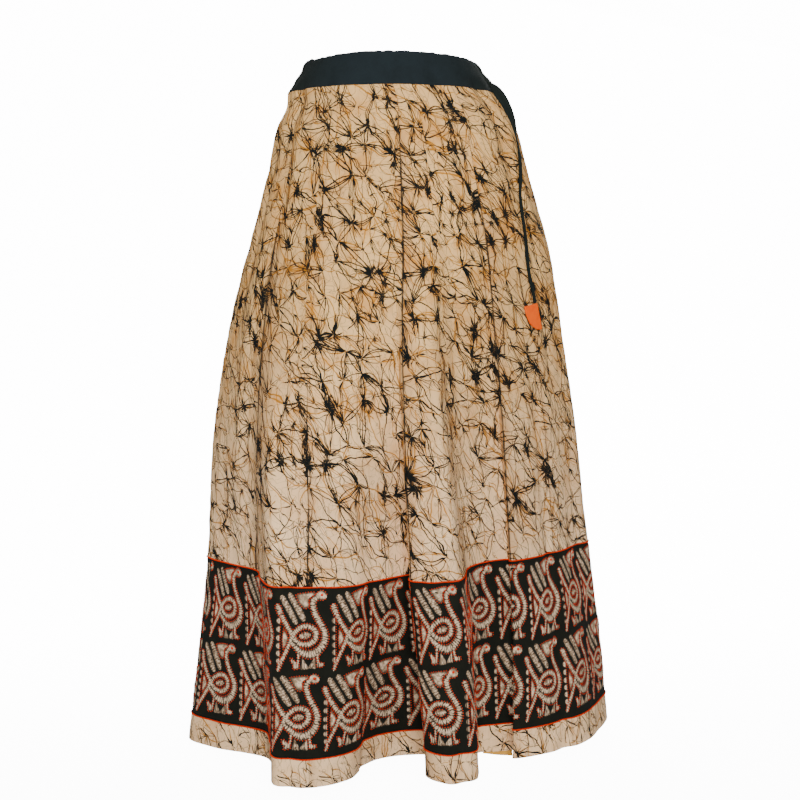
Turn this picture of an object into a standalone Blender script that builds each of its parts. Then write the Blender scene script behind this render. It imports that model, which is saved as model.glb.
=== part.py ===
"""A gathered full-length batik skirt, worn form with no wearer, in metres with +Z up.

The origin is in the middle of the waist opening, at half the waistband's height. The front
faces -Y and the viewer's right is +X. The cloth is a thin wall run down through level sections.
Each section is one closed curve through the fold lines, and every fold line has its own column
of points from the waist seam to the hem.
"""

import math
from collections import namedtuple

import bpy
import numpy as np

# Walls and gaps, the most that a mitre lengthens a wall's offset, and the angle past which an
# edge is shaded sharp
CLOTH = 0.0014
BAND_CLOTH = 0.0022
TAPE = 0.0018
SEAM_GAP = 0.0003
MOST_MITRE = 1.3
SHARP_DEG = 50

# Heights: the waistband is centred on the origin, and drops are measured down from its seam
BAND_DEPTH = 0.044
BORDER_DROP = 0.616
HEM_STRIP_DROP = 0.834
HEM_DROP = 0.870
SEAM_Z = -BAND_DEPTH / 2

# The skirt's outline, a row for each level: half its width, how far its front and its back
# stand from the axis, and how far its middle lies to the side
Section = namedtuple("Section", "drop half_width front back shift")
SECTIONS = (
    Section(0.000, 0.1370, 0.118, 0.106, -0.007),
    Section(0.020, 0.1450, 0.124, 0.114, -0.001),
    Section(0.045, 0.1590, 0.134, 0.125, 0.000),
    Section(0.100, 0.1730, 0.150, 0.142, 0.002),
    Section(0.205, 0.2020, 0.184, 0.176, 0.004),
    Section(0.315, 0.2250, 0.208, 0.202, 0.002),
    Section(0.450, 0.2465, 0.228, 0.224, 0.004),
    Section(0.616, 0.2600, 0.238, 0.244, 0.010),
    Section(0.760, 0.2770, 0.236, 0.254, 0.013),
    Section(0.870, 0.2880, 0.232, 0.260, 0.012),
)
BAND_TOP = Section(-BAND_DEPTH, 0.1110, 0.101, 0.096, -0.006)
# How far the waistband's top edge dips from the middle of the front and back to its sides
BAND_DIP = 0.004

# The fold lines of the front, from the left side seam to the right one. seam_deg is the line's
# place on the waist seam, counted from the front. starts is the drop at which the fold begins.
# Side and forward are its place at the border's top edge and at the hem.
Line = namedtuple("Line", "name starts seam_deg border_side border_forward hem_side hem_forward")
FRONT_LINES = (
    Line("left_side_seam", 0.10, -76, -0.246, 0.062, -0.280, 0.044),
    Line("left_lobe", 0.10, -68, -0.222, 0.090, -0.236, 0.081),
    Line("left_hollow", 0.22, -57.5, -0.178, 0.140, -0.171, 0.118),
    Line("left_wall", 0.22, -52, -0.169, 0.190, -0.158, 0.168),
    Line("pleat_edge", 0.22, -46, -0.147, 0.240, -0.150, 0.224),
    Line("pleat_face", 0.15, -35, -0.112, 0.242, -0.110, 0.232),
    Line("pleat_slope", 0.15, -20, -0.056, 0.235, -0.062, 0.204),
    Line("middle_hollow", 0.15, -10, -0.018, 0.197, -0.026, 0.126),
    Line("middle_foot", 0.18, -1.5, 0.017, 0.167, 0.044, 0.108),
    Line("box_left_edge", 0.18, 1, 0.018, 0.204, 0.039, 0.192),
    Line("box_face", 0.15, 4, 0.047, 0.215, 0.068, 0.219),
    Line("box_right_edge", 0.15, 7, 0.077, 0.202, 0.101, 0.200),
    Line("box_foot", 0.15, 11, 0.095, 0.116, 0.107, 0.100),
    Line("recess", 0.10, 20, 0.122, 0.080, 0.132, 0.093),
    Line("right_foot", 0.10, 31, 0.149, 0.066, 0.162, 0.088),
    Line("right_edge", 0.10, 34, 0.151, 0.077, 0.152, 0.121),
    Line("right_lobe", 0.06, 45, 0.190, 0.047, 0.200, 0.099),
    Line("right_slope", 0.06, 57, 0.226, 0.004, 0.252, 0.057),
    Line("right_turn", 0.06, 67, 0.251, -0.042, 0.287, -0.015),
    Line("right_side_seam", 0.06, 78, 0.271, -0.074, 0.301, -0.064),
)
FRONT_COLUMNS = 3

# The back's folds, from the right side seam round to the left one: each is a hollow and then a
# lobe. share is its part of the way round, and hollow is how deep it lies at the hem.
Fold = namedtuple("Fold", "share hollow starts")
BACK_FOLDS = (
    Fold(0.15, 0.042, 0.16),
    Fold(0.12, 0.060, 0.20),
    Fold(0.17, 0.036, 0.12),
    Fold(0.12, 0.066, 0.18),
    Fold(0.17, 0.046, 0.24),
    Fold(0.12, 0.058, 0.14),
    Fold(0.15, 0.040, 0.20),
)
BACK_COLUMNS = 3
# Where the lines of a fold lie within its share: the edge of the lobe before it, the two edges
# of its hollow, and the edge of the lobe after it
Spot = namedtuple("Spot", "name at hollow")
BACK_SPOTS = (
    Spot("leading_edge", 0.20, False),
    Spot("hollow_start", 0.40, True),
    Spot("hollow_end", 0.61, True),
    Spot("trailing_edge", 0.80, False),
)
BORDER_FOLD_SHARE = 0.80
LOBE_PROUD = 0.008

# Soft hollows that run down from the front waistband and die away
Tuck = namedtuple("Tuck", "seam_deg depth half_width_deg fades")
FRONT_TUCKS = (
    Tuck(-60, 0.006, 5.0, 0.20),
    Tuck(-37, 0.003, 4.0, 0.16),
    Tuck(-15, 0.004, 4.0, 0.30),
    Tuck(24, 0.003, 5.0, 0.26),
    Tuck(57, 0.007, 6.0, 0.34),
)

# Gathers of the back panel under its elastic waistband, one on each of its fold lines, and the
# waistband's own puckers
GATHER_DEPTH = 0.0028
GATHER_FADES = 0.13
PUCKERS = 24
PUCKER_DEPTH = 0.0024
PUCKER_COLUMNS = 4

# Levels at which the pieces have points
PANEL_DROPS = (0.0, 0.014, 0.040, 0.080, 0.135, 0.200, 0.280, 0.380, 0.490, BORDER_DROP)
BORDER_DROPS = (BORDER_DROP, 0.690, 0.762, HEM_STRIP_DROP)
HEM_DROPS = (HEM_STRIP_DROP, HEM_DROP)
BAND_DROPS = (-BAND_DEPTH, -BAND_DEPTH / 2, 0.0)
BAND_FRONT_COLUMNS = 44

# The inner facing, which shows below the hem in the recess beside the box pleat: how far it
# hangs out at its left and right end
FACING_LEFT, FACING_RIGHT = 0.002, 0.008
FACING_BEHIND = 0.0006

# The tie, a folded tape that narrows where it twists, at points chosen along its route. It faces
# that many degrees round from the front.
Stop = namedtuple("Stop", "side forward z width facing_deg")
TIE_ROUTE = (
    Stop(0.1247, 0.0120, -0.0072, 0.0090, 62),
    Stop(0.1315, 0.0160, -0.0143, 0.0120, 45),
    Stop(0.1395, 0.0200, -0.0258, 0.0130, 32),
    Stop(0.1467, 0.0240, -0.0405, 0.0130, 30),
    Stop(0.1516, 0.0312, -0.0542, 0.0120, 36),
    Stop(0.1549, 0.0378, -0.0684, 0.0090, 46),
    Stop(0.1569, 0.0410, -0.0800, 0.0040, 60),
    Stop(0.1596, 0.0447, -0.0921, 0.0050, 66),
    Stop(0.1612, 0.0517, -0.1056, 0.0070, 62),
    Stop(0.1619, 0.0585, -0.1204, 0.0080, 57),
    Stop(0.1614, 0.0672, -0.1390, 0.0070, 50),
    Stop(0.1604, 0.0750, -0.1575, 0.0050, 50),
    Stop(0.1625, 0.0798, -0.1795, 0.0070, 54),
    Stop(0.1663, 0.0868, -0.2098, 0.0065, 55),
    Stop(0.1687, 0.0903, -0.2374, 0.0065, 52),
    Stop(0.1721, 0.0885, -0.2631, 0.0060, 52),
    Stop(0.1774, 0.0837, -0.2831, 0.0060, 52),
    Stop(0.1801, 0.0820, -0.2980, 0.0060, 51),
)
TIE_STEPS = 3
TIE_SIDES = 8

# The tab on the tie's end, a quarter leaf whose corner is at the tie: its top edge runs back to
# the left, and its long edge runs down
TAB_TOP_EDGE = (-0.027, 0.004)
TAB_LONG_EDGE = (0.011, 0.034)
TAB_CORNER_PAST_TIE = 0.003
TAB_CORNER_BELOW_TIE = 0.0004
TAB_CORNER_PROUD = 0.0010
TAB_THICK = 0.0024
TAB_FACING_DEG = 48
TAB_LEAN = 0.0
TAB_FULLNESS = 0.85
TAB_ARC_POINTS = 12


def smooth(x):
    x = min(max(x, 0.0), 1.0)
    return x * x * (3 - 2 * x)


def outline_at(drop):
    """The section's outline sizes at a drop, along smooth curves through the rows of SECTIONS."""
    if drop < 0:
        share = drop / BAND_TOP.drop
        return [a + (b - a) * share for a, b in zip(SECTIONS[0][1:], BAND_TOP[1:])]
    drops = [row.drop for row in SECTIONS]
    i = min(max(int(np.searchsorted(drops, drop)) - 1, 0), len(drops) - 2)
    span = drops[i + 1] - drops[i]
    t = (drop - drops[i]) / span

    def slope(k, column):
        low, high = max(k - 1, 0), min(k + 1, len(drops) - 1)
        return (SECTIONS[high][column] - SECTIONS[low][column]) / (drops[high] - drops[low])

    sizes = []
    for column in range(1, 5):
        a, b = SECTIONS[i][column], SECTIONS[i + 1][column]
        ma, mb = slope(i, column) * span, slope(i + 1, column) * span
        sizes.append(
            (2 * t**3 - 3 * t**2 + 1) * a + (t**3 - 2 * t**2 + t) * ma
            + (3 * t**2 - 2 * t**3) * b + (t**3 - t**2) * mb
        )
    return sizes


def place(drop, across, ahead):
    """The plan point at a share of the half width and of the front or back depth."""
    half_width, front, back, shift = outline_at(drop)
    return np.array([shift + half_width * across, -ahead * (front if ahead > 0 else back)])


def shares(drop, side, forward):
    """The reverse of place: a real side and forward distance as shares of the outline."""
    half_width, front, back, shift = outline_at(drop)
    return (side - shift) / half_width, forward / (front if forward > 0 else back)


def back_lines():
    """The back's fold lines, worked out from the rows of BACK_FOLDS."""
    first, last = FRONT_LINES[-1], FRONT_LINES[0]
    turn = {}
    for level, drop in (("border", BORDER_DROP), ("hem", HEM_DROP)):
        ends = []
        for line in (first, last):
            side = getattr(line, level + "_side")
            forward = getattr(line, level + "_forward")
            ends.append(math.atan2(*shares(drop, side, forward)))
        turn[level] = (ends[0], ends[1] + 2 * math.pi)
    lines, begun = [], 0.0
    spans = len(BACK_FOLDS) * len(BACK_SPOTS) + 1
    for number, fold in enumerate(BACK_FOLDS):
        for spot in BACK_SPOTS:
            share = begun + fold.share * spot.at
            gathered = (len(lines) + 1) / spans
            seam_deg = first.seam_deg + (last.seam_deg + 360 - first.seam_deg) * gathered
            numbers = []
            for level, drop in (("border", BORDER_DROP), ("hem", HEM_DROP)):
                angle = turn[level][0] + (turn[level][1] - turn[level][0]) * share
                x, y = place(drop, math.sin(angle), math.cos(angle))
                moved = -fold.hollow if spot.hollow else LOBE_PROUD
                moved *= BORDER_FOLD_SHARE if level == "border" else 1.0
                stretch = 1 + moved / math.hypot(x, y)
                numbers += [x * stretch, -y * stretch]
            lines.append(Line(f"back_{spot.name}_{number}", fold.starts, seam_deg, *numbers))
        begun += fold.share
    return lines


LINES = list(FRONT_LINES) + back_lines()
FRONT_SPANS = len(FRONT_LINES) - 1


def line_point(line, drop):
    """Where a fold line runs through the level at this drop. Above the border a front line runs
    straight down in its share of the width, and a back line in its angle round the axis."""
    border = shares(BORDER_DROP, line.border_side, line.border_forward)
    hem = shares(HEM_DROP, line.hem_side, line.hem_forward)
    if drop > BORDER_DROP:
        down = (drop - BORDER_DROP) / (HEM_DROP - BORDER_DROP)
        across, ahead = (a + (b - a) * down for a, b in zip(border, hem))
        return place(drop, across, ahead)
    down = drop / BORDER_DROP
    grown = smooth((drop - line.starts) / (BORDER_DROP - line.starts))
    angle = math.radians(line.seam_deg)
    if line in FRONT_LINES:
        across = math.sin(angle) + (border[0] - math.sin(angle)) * down
        unfolded = math.sqrt(max(1 - across * across, 0.0))
        return place(drop, across, unfolded + (border[1] - unfolded) * grown)
    angle += (math.atan2(*border) % (2 * math.pi) - angle) * down
    across, ahead = math.sin(angle), math.cos(angle)
    return place(drop, across + (border[0] - across) * grown, ahead + (border[1] - ahead) * grown)


def through(points, before, after, columns):
    """Points on the centripetal curve from one control point to the next, without the last."""
    p0, p1, p2, p3 = before, points[0], points[1], after
    knots = [0.0]
    for a, b in ((p0, p1), (p1, p2), (p2, p3)):
        knots.append(knots[-1] + max(np.linalg.norm(b - a), 1e-6) ** 0.5)
    t0, t1, t2, t3 = knots
    found = []
    for j in range(columns):
        t = t1 + (t2 - t1) * j / columns
        a1 = (t1 - t) / (t1 - t0) * p0 + (t - t0) / (t1 - t0) * p1
        a2 = (t2 - t) / (t2 - t1) * p1 + (t - t1) / (t2 - t1) * p2
        a3 = (t3 - t) / (t3 - t2) * p2 + (t - t2) / (t3 - t2) * p3
        b1 = (t2 - t) / (t2 - t0) * a1 + (t - t0) / (t2 - t0) * a2
        b2 = (t3 - t) / (t3 - t1) * a2 + (t - t1) / (t3 - t1) * a3
        found.append((t2 - t) / (t2 - t1) * b1 + (t - t1) / (t2 - t1) * b2)
    return found


def columns_of(span):
    return FRONT_COLUMNS if span < FRONT_SPANS else BACK_COLUMNS


def column_degrees():
    """Each column's place on the waist seam, in degrees from the front."""
    degrees = []
    for i, line in enumerate(LINES):
        following = LINES[i + 1].seam_deg if i + 1 < len(LINES) else LINES[0].seam_deg + 360
        count = columns_of(i)
        degrees += [line.seam_deg + (following - line.seam_deg) * j / count for j in range(count)]
    return np.array(degrees)


DEGREES = column_degrees()
RIGHT_SEAM_COLUMN = FRONT_SPANS * FRONT_COLUMNS


def normals_of(ring, closed=True):
    """The outward normal at each point of a plan curve, with its mitre, for a curve that runs
    from the left over the front to the right."""
    if closed:
        before, after = np.roll(ring, 1, axis=0), np.roll(ring, -1, axis=0)
    else:
        before = np.vstack([2 * ring[0] - ring[1], ring[:-1]])
        after = np.vstack([ring[1:], 2 * ring[-1] - ring[-2]])
    into, out = ring - before, after - ring
    into /= np.linalg.norm(into, axis=1)[:, None]
    out /= np.linalg.norm(out, axis=1)[:, None]
    mean = into + out
    mean /= np.maximum(np.linalg.norm(mean, axis=1), 1e-9)[:, None]
    mitre = np.minimum(1 / np.maximum((mean * out).sum(1), 1e-3), MOST_MITRE)
    return np.stack([mean[:, 1], -mean[:, 0]], axis=1), mitre


def ripple(degrees, drop):
    """How far the tucks and gathers move the cloth outwards at this level."""
    moved = np.zeros(len(degrees))
    for tuck in FRONT_TUCKS:
        fade = 1 - smooth(drop / tuck.fades)
        moved -= tuck.depth * fade * np.exp(-(((degrees - tuck.seam_deg) / tuck.half_width_deg) ** 2))
    back = np.arange(len(degrees)) - RIGHT_SEAM_COLUMN
    wave = np.where(back % BACK_COLUMNS == 0, -GATHER_DEPTH, GATHER_DEPTH / 2)
    return np.where(back > 0, moved + wave * (1 - smooth(drop / GATHER_FADES)), moved)


def ring_at(drop):
    """The outer curve of the skirt's cloth at a level, one point for each column."""
    controls = [line_point(line, drop) for line in LINES]
    count = len(controls)
    ring = []
    for i in range(count):
        pair = (controls[i], controls[(i + 1) % count])
        ring += through(pair, controls[i - 1], controls[(i + 2) % count], columns_of(i))
    ring = np.array(ring)
    normal, _ = normals_of(ring)
    return ring + normal * ripple(DEGREES, drop)[:, None]


def parted(points, gap):
    """The curve with each of its ends drawn back along itself."""
    points = points.copy()
    for end, inner in ((0, 1), (-1, -2)):
        step = points[inner] - points[end]
        points[end] = points[end] + step * gap / np.linalg.norm(step)
    return points


def solid(name, points, faces, material):
    """A named object from points and faces that close one body."""
    mesh = bpy.data.meshes.new(name)
    mesh.from_pydata([tuple(p) for p in points], [], faces)
    mesh.validate()
    mesh.materials.append(material)
    mesh.shade_smooth()
    mesh.set_sharp_from_angle(angle=math.radians(SHARP_DEG))
    obj = bpy.data.objects.new(name, mesh)
    bpy.context.scene.collection.objects.link(obj)
    return obj


def wall(name, outer, inner, material):
    """One closed wall between two grids of points, each with a row for each level."""
    rows, columns = outer.shape[:2]
    points = np.concatenate([outer.reshape(-1, 3), inner.reshape(-1, 3)])
    inside = rows * columns

    def at(row, column, layer=0):
        return layer * inside + row * columns + column

    faces = []
    for r in range(rows - 1):
        for c in range(columns - 1):
            faces.append((at(r, c), at(r + 1, c), at(r + 1, c + 1), at(r, c + 1)))
            faces.append((at(r, c, 1), at(r, c + 1, 1), at(r + 1, c + 1, 1), at(r + 1, c, 1)))
    for c in range(columns - 1):
        last = rows - 1
        faces.append((at(0, c), at(0, c + 1), at(0, c + 1, 1), at(0, c, 1)))
        faces.append((at(last, c), at(last, c, 1), at(last, c + 1, 1), at(last, c + 1)))
    for r in range(rows - 1):
        last = columns - 1
        faces.append((at(r, 0), at(r, 0, 1), at(r + 1, 0, 1), at(r + 1, 0)))
        faces.append((at(r, last), at(r + 1, last), at(r + 1, last, 1), at(r, last, 1)))
    return solid(name, points, faces, material)


def levels(drops):
    """The drops of a piece's levels, with its top and bottom edges held back for the seams."""
    return [drops[0] + SEAM_GAP / 2, *drops[1:-1], drops[-1] - SEAM_GAP / 2]


def cloth_piece(name, drops, front, material):
    """A front or back piece of the skirt between two seams."""
    outer, inner = [], []
    for drop in levels(drops):
        ring = ring_at(drop)
        normal, mitre = normals_of(ring)
        inside = ring - normal * (mitre * CLOTH)[:, None]
        z = SEAM_Z - drop
        for curve, grid in ((ring, outer), (inside, inner)):
            if front:
                piece = curve[: RIGHT_SEAM_COLUMN + 1]
            else:
                piece = np.vstack([curve[RIGHT_SEAM_COLUMN:], curve[:1]])
            piece = parted(piece, SEAM_GAP / 2)
            grid.append(np.column_stack([piece, np.full(len(piece), z)]))
    return wall(name, np.array(outer), np.array(inner), material)


def band_curve(drop, degrees, moved):
    """The waistband's outer curve at a level."""
    turn = np.radians(degrees)
    curve = np.array([place(drop, math.sin(a), math.cos(a)) for a in turn])
    normal, _ = normals_of(curve, closed=False)
    return curve + normal * moved[:, None]


def band_piece(name, first_deg, last_deg, columns, puckers, material):
    """A stretch of the waistband, plain or with elastic puckers."""
    degrees = np.linspace(first_deg, last_deg, columns + 1)
    along = np.linspace(0, 1, columns + 1)
    moved = (1 - np.cos(2 * math.pi * puckers * along)) * PUCKER_DEPTH / 2
    outer, inner = [], []
    for drop in levels(BAND_DROPS):
        curve = parted(band_curve(drop, degrees, moved), SEAM_GAP / 2)
        normal, mitre = normals_of(curve, closed=False)
        inside = curve - normal * (mitre * BAND_CLOTH)[:, None]
        dip = BAND_DIP * np.sin(np.radians(degrees)) ** 2 * max(-drop, 0) / BAND_DEPTH
        for points, grid in ((curve, outer), (inside, inner)):
            grid.append(np.column_stack([points, SEAM_Z - drop - dip]))
    return wall(name, np.array(outer), np.array(inner), material)


def facing_piece(material):
    """The stretch of inner facing below the recess, on the recess's own curve."""
    ring = ring_at(HEM_DROP)
    names = [line.name for line in FRONT_LINES]
    first = names.index("box_foot") * FRONT_COLUMNS + 1
    last = names.index("right_foot") * FRONT_COLUMNS - 1
    curve = ring[first : last + 1]
    normal, _ = normals_of(curve, closed=False)
    outside = curve - normal * FACING_BEHIND
    inside = curve - normal * (FACING_BEHIND + CLOTH)
    hem_z = SEAM_Z - HEM_DROP
    edges = (np.full(len(curve), SEAM_GAP / 2), np.linspace(FACING_LEFT, FACING_RIGHT, len(curve)))
    outer = [np.column_stack([outside, hem_z - below]) for below in edges]
    inner = [np.column_stack([inside, hem_z - below]) for below in edges]
    return wall("hem_facing", np.array(outer), np.array(inner), material)


def tie_stations():
    """Points down the middle of the tape, with its width and facing, on a smooth curve."""
    rows = np.array([(s.side, -s.forward, s.z, s.width, s.facing_deg) for s in TIE_ROUTE])
    stations = []
    for i in range(len(rows) - 1):
        before = rows[i - 1] if i else 2 * rows[0] - rows[1]
        after = rows[i + 2] if i + 2 < len(rows) else 2 * rows[-1] - rows[-2]
        for j in range(TIE_STEPS):
            t = j / TIE_STEPS
            stations.append(
                0.5 * (2 * rows[i] + (rows[i + 1] - before) * t
                       + (2 * before - 5 * rows[i] + 4 * rows[i + 1] - after) * t**2
                       + (3 * rows[i] - before - 3 * rows[i + 1] + after) * t**3)
            )
    return np.array(stations + [rows[-1]])


def tie_cord(material):
    """The tape, an oval section carried down its route."""
    stations = tie_stations()
    middle, width, facing = stations[:, :3], stations[:, 3], np.radians(stations[:, 4])
    along = np.gradient(middle, axis=0)
    along /= np.linalg.norm(along, axis=1)[:, None]
    out = np.stack([np.sin(facing), -np.cos(facing), np.zeros(len(facing))], axis=1)
    out -= along * (out * along).sum(1)[:, None]
    out /= np.linalg.norm(out, axis=1)[:, None]
    across = np.cross(out, along)
    points = []
    for k in range(len(stations)):
        for side in range(TIE_SIDES):
            turn = 2 * math.pi * (side + 0.5) / TIE_SIDES
            spread = across[k] * math.cos(turn) * width[k] / 2
            points.append(middle[k] + spread + out[k] * math.sin(turn) * TAPE / 2)
    faces = [tuple(reversed(range(TIE_SIDES)))]
    for k in range(len(stations) - 1):
        for side in range(TIE_SIDES):
            following = (side + 1) % TIE_SIDES
            a, b = k * TIE_SIDES, (k + 1) * TIE_SIDES
            faces.append((a + side, a + following, b + following, b + side))
    faces.append(tuple((len(stations) - 1) * TIE_SIDES + side for side in range(TIE_SIDES)))
    return solid("tie_cord", points, faces, material)


def tie_tab(material):
    """The quarter-leaf tab, flat and leaning with the skirt behind it."""
    end = TIE_ROUTE[-1]
    facing = math.radians(TAB_FACING_DEG)
    right = np.array([math.cos(facing), math.sin(facing), 0.0])
    out = np.array([math.sin(facing), -math.cos(facing), 0.0])
    down = np.array([0.0, 0.0, -1.0]) + out * TAB_LEAN
    corner = np.array([end.side, -end.forward, end.z]) + right * TAB_CORNER_PAST_TIE
    corner += out * TAB_CORNER_PROUD - np.array([0.0, 0.0, TAB_CORNER_BELOW_TIE])
    outline = [(0.0, 0.0)]
    for k in range(TAB_ARC_POINTS + 1):
        turn = math.pi / 2 * k / TAB_ARC_POINTS
        near, far = math.cos(turn) ** TAB_FULLNESS, math.sin(turn) ** TAB_FULLNESS
        outline.append(tuple(near * a + far * b for a, b in zip(TAB_TOP_EDGE, TAB_LONG_EDGE)))
    count = len(outline)
    points = []
    for layer in (-TAB_THICK / 2, TAB_THICK / 2):
        points += [corner + right * x + down * y + out * layer for x, y in outline]
    faces = [tuple(reversed(range(count))), tuple(range(count, 2 * count))]
    for k in range(count):
        following = (k + 1) % count
        faces.append((k, following, following + count, k + count))
    return solid("tie_tab", points, faces, material)


def colour(name, rgb, roughness):
    """A plain cloth material."""
    material = bpy.data.materials.new(name)
    material.use_nodes = True
    shader = material.node_tree.nodes["Principled BSDF"]
    shader.inputs["Base Color"].default_value = (*rgb, 1.0)
    shader.inputs["Roughness"].default_value = roughness
    shader.inputs["Metallic"].default_value = 0.0
    return material


def clear_scene():
    for obj in list(bpy.data.objects):
        bpy.data.objects.remove(obj, do_unlink=True)


def main():
    clear_scene()
    crackle = colour("crackle_cloth", (0.62, 0.46, 0.32), 0.85)
    dark = colour("dark_cloth", (0.018, 0.022, 0.024), 0.80)
    border = colour("border_cloth", (0.040, 0.040, 0.032), 0.85)
    tan = colour("facing_cloth", (0.62, 0.40, 0.15), 0.85)
    for front, half in ((True, "front"), (False, "back")):
        cloth_piece(f"skirt_{half}", PANEL_DROPS, front, crackle)
        cloth_piece(f"border_{half}", BORDER_DROPS, front, border)
        cloth_piece(f"hem_{half}", HEM_DROPS, front, crackle)
    left, right = FRONT_LINES[0].seam_deg, FRONT_LINES[-1].seam_deg
    band_piece("waistband_front", left, right, BAND_FRONT_COLUMNS, 0, dark)
    band_piece("waistband_back", right, left + 360, PUCKERS * PUCKER_COLUMNS, PUCKERS, dark)
    facing_piece(tan)
    tie_cord(dark)
    tie_tab(colour("tab_cloth", (0.86, 0.14, 0.01), 0.75))


main()
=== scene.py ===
"""The looks of a batik skirt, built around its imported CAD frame, in metres with +Z up.

The front faces -Y and the viewer's right is +X. Every piece of cloth is a thin shell on the
form of its CAD solid, with the same fold lines, more points and its own finer creases.
"""

import functools
import math
from collections import namedtuple

import bmesh
import bpy
import numpy as np
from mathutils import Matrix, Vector, noise


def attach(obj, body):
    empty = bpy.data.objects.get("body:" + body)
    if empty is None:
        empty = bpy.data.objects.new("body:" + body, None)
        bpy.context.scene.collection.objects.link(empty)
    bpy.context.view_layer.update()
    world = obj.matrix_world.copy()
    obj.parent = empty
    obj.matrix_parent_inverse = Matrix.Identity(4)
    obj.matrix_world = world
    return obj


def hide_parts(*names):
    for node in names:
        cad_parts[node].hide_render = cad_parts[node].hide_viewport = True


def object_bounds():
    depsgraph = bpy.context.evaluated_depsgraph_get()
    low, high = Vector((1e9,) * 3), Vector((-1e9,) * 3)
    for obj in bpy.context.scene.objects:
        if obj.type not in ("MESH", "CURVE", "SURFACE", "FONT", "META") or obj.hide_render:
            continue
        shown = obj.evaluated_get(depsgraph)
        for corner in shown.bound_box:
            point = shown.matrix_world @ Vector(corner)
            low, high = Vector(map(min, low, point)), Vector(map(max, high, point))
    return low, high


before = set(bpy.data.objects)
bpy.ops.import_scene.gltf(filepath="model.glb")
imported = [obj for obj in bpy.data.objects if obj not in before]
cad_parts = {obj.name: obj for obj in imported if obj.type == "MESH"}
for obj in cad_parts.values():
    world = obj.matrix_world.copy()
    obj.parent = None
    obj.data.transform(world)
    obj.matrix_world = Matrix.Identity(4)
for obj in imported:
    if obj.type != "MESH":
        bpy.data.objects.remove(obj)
CAD_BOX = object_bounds()

bl_info = {
    "name": "Batik Skirt",
    "version": (1, 0, 0),
    "blender": (4, 5, 0),
    "location": "View3D > Sidebar > Skirt",
    "description": "Makes the cloth, sewing and finishes of a gathered batik skirt",
    "category": "Object",
}

# ---- The CAD's own sizes: outline, fold lines, folds, tucks and the tie's route ----

# Drops are measured down the cloth from the waist seam, and -Y is forward
BAND_DEPTH = 0.044
BORDER_DROP = 0.616
HEM_STRIP_DROP = 0.834
HEM_DROP = 0.870
SEAM_Z = -BAND_DEPTH / 2
# The gap between two pieces at a seam, how far the two halves lap at the side seams, and how far
# a sharp fold may push the cloth's inner face away from its outer one, in thicknesses
SEAM_GAP = 0.0003
SEAM_LAP = 0.0001
MOST_MITRE = 1.3

Section = namedtuple("Section", "drop half_width front back shift")
SECTIONS = (
    Section(0.000, 0.1370, 0.118, 0.106, -0.007),
    Section(0.020, 0.1450, 0.124, 0.114, -0.001),
    Section(0.045, 0.1590, 0.134, 0.125, 0.000),
    Section(0.100, 0.1730, 0.150, 0.142, 0.002),
    Section(0.205, 0.2020, 0.184, 0.176, 0.004),
    Section(0.315, 0.2250, 0.208, 0.202, 0.002),
    Section(0.450, 0.2465, 0.228, 0.224, 0.004),
    Section(0.616, 0.2600, 0.238, 0.244, 0.010),
    Section(0.760, 0.2770, 0.236, 0.254, 0.013),
    Section(0.870, 0.2880, 0.232, 0.260, 0.012),
)
BAND_TOP = Section(-BAND_DEPTH, 0.1110, 0.101, 0.096, -0.006)
BAND_DIP = 0.004

Line = namedtuple("Line", "name starts seam_deg border_side border_forward hem_side hem_forward")
FRONT_LINES = (
    Line("left_side_seam", 0.10, -76, -0.246, 0.062, -0.280, 0.044),
    Line("left_lobe", 0.10, -68, -0.222, 0.090, -0.236, 0.081),
    Line("left_hollow", 0.22, -57.5, -0.178, 0.140, -0.171, 0.118),
    Line("left_wall", 0.22, -52, -0.169, 0.190, -0.158, 0.168),
    Line("pleat_edge", 0.22, -46, -0.147, 0.240, -0.150, 0.224),
    Line("pleat_face", 0.15, -35, -0.112, 0.242, -0.110, 0.232),
    Line("pleat_slope", 0.15, -20, -0.056, 0.235, -0.062, 0.204),
    Line("middle_hollow", 0.15, -10, -0.018, 0.197, -0.026, 0.126),
    Line("middle_foot", 0.18, -1.5, 0.017, 0.167, 0.044, 0.108),
    Line("box_left_edge", 0.18, 1, 0.018, 0.204, 0.039, 0.192),
    Line("box_face", 0.15, 4, 0.047, 0.215, 0.068, 0.219),
    Line("box_right_edge", 0.15, 7, 0.077, 0.202, 0.101, 0.200),
    Line("box_foot", 0.15, 11, 0.095, 0.116, 0.107, 0.100),
    Line("recess", 0.10, 20, 0.122, 0.080, 0.132, 0.093),
    Line("right_foot", 0.10, 31, 0.149, 0.066, 0.162, 0.088),
    Line("right_edge", 0.10, 34, 0.151, 0.077, 0.152, 0.121),
    Line("right_lobe", 0.06, 45, 0.190, 0.047, 0.200, 0.099),
    Line("right_slope", 0.06, 57, 0.226, 0.004, 0.252, 0.057),
    Line("right_turn", 0.06, 67, 0.251, -0.042, 0.287, -0.015),
    Line("right_side_seam", 0.06, 78, 0.271, -0.074, 0.301, -0.064),
)
Fold = namedtuple("Fold", "share hollow starts")
BACK_FOLDS = (
    Fold(0.15, 0.042, 0.16),
    Fold(0.12, 0.060, 0.20),
    Fold(0.17, 0.036, 0.12),
    Fold(0.12, 0.066, 0.18),
    Fold(0.17, 0.046, 0.24),
    Fold(0.12, 0.058, 0.14),
    Fold(0.15, 0.040, 0.20),
)
Spot = namedtuple("Spot", "name at hollow")
BACK_SPOTS = (
    Spot("leading_edge", 0.20, False),
    Spot("hollow_start", 0.40, True),
    Spot("hollow_end", 0.61, True),
    Spot("trailing_edge", 0.80, False),
)
BORDER_FOLD_SHARE = 0.80
LOBE_PROUD = 0.008

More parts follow.
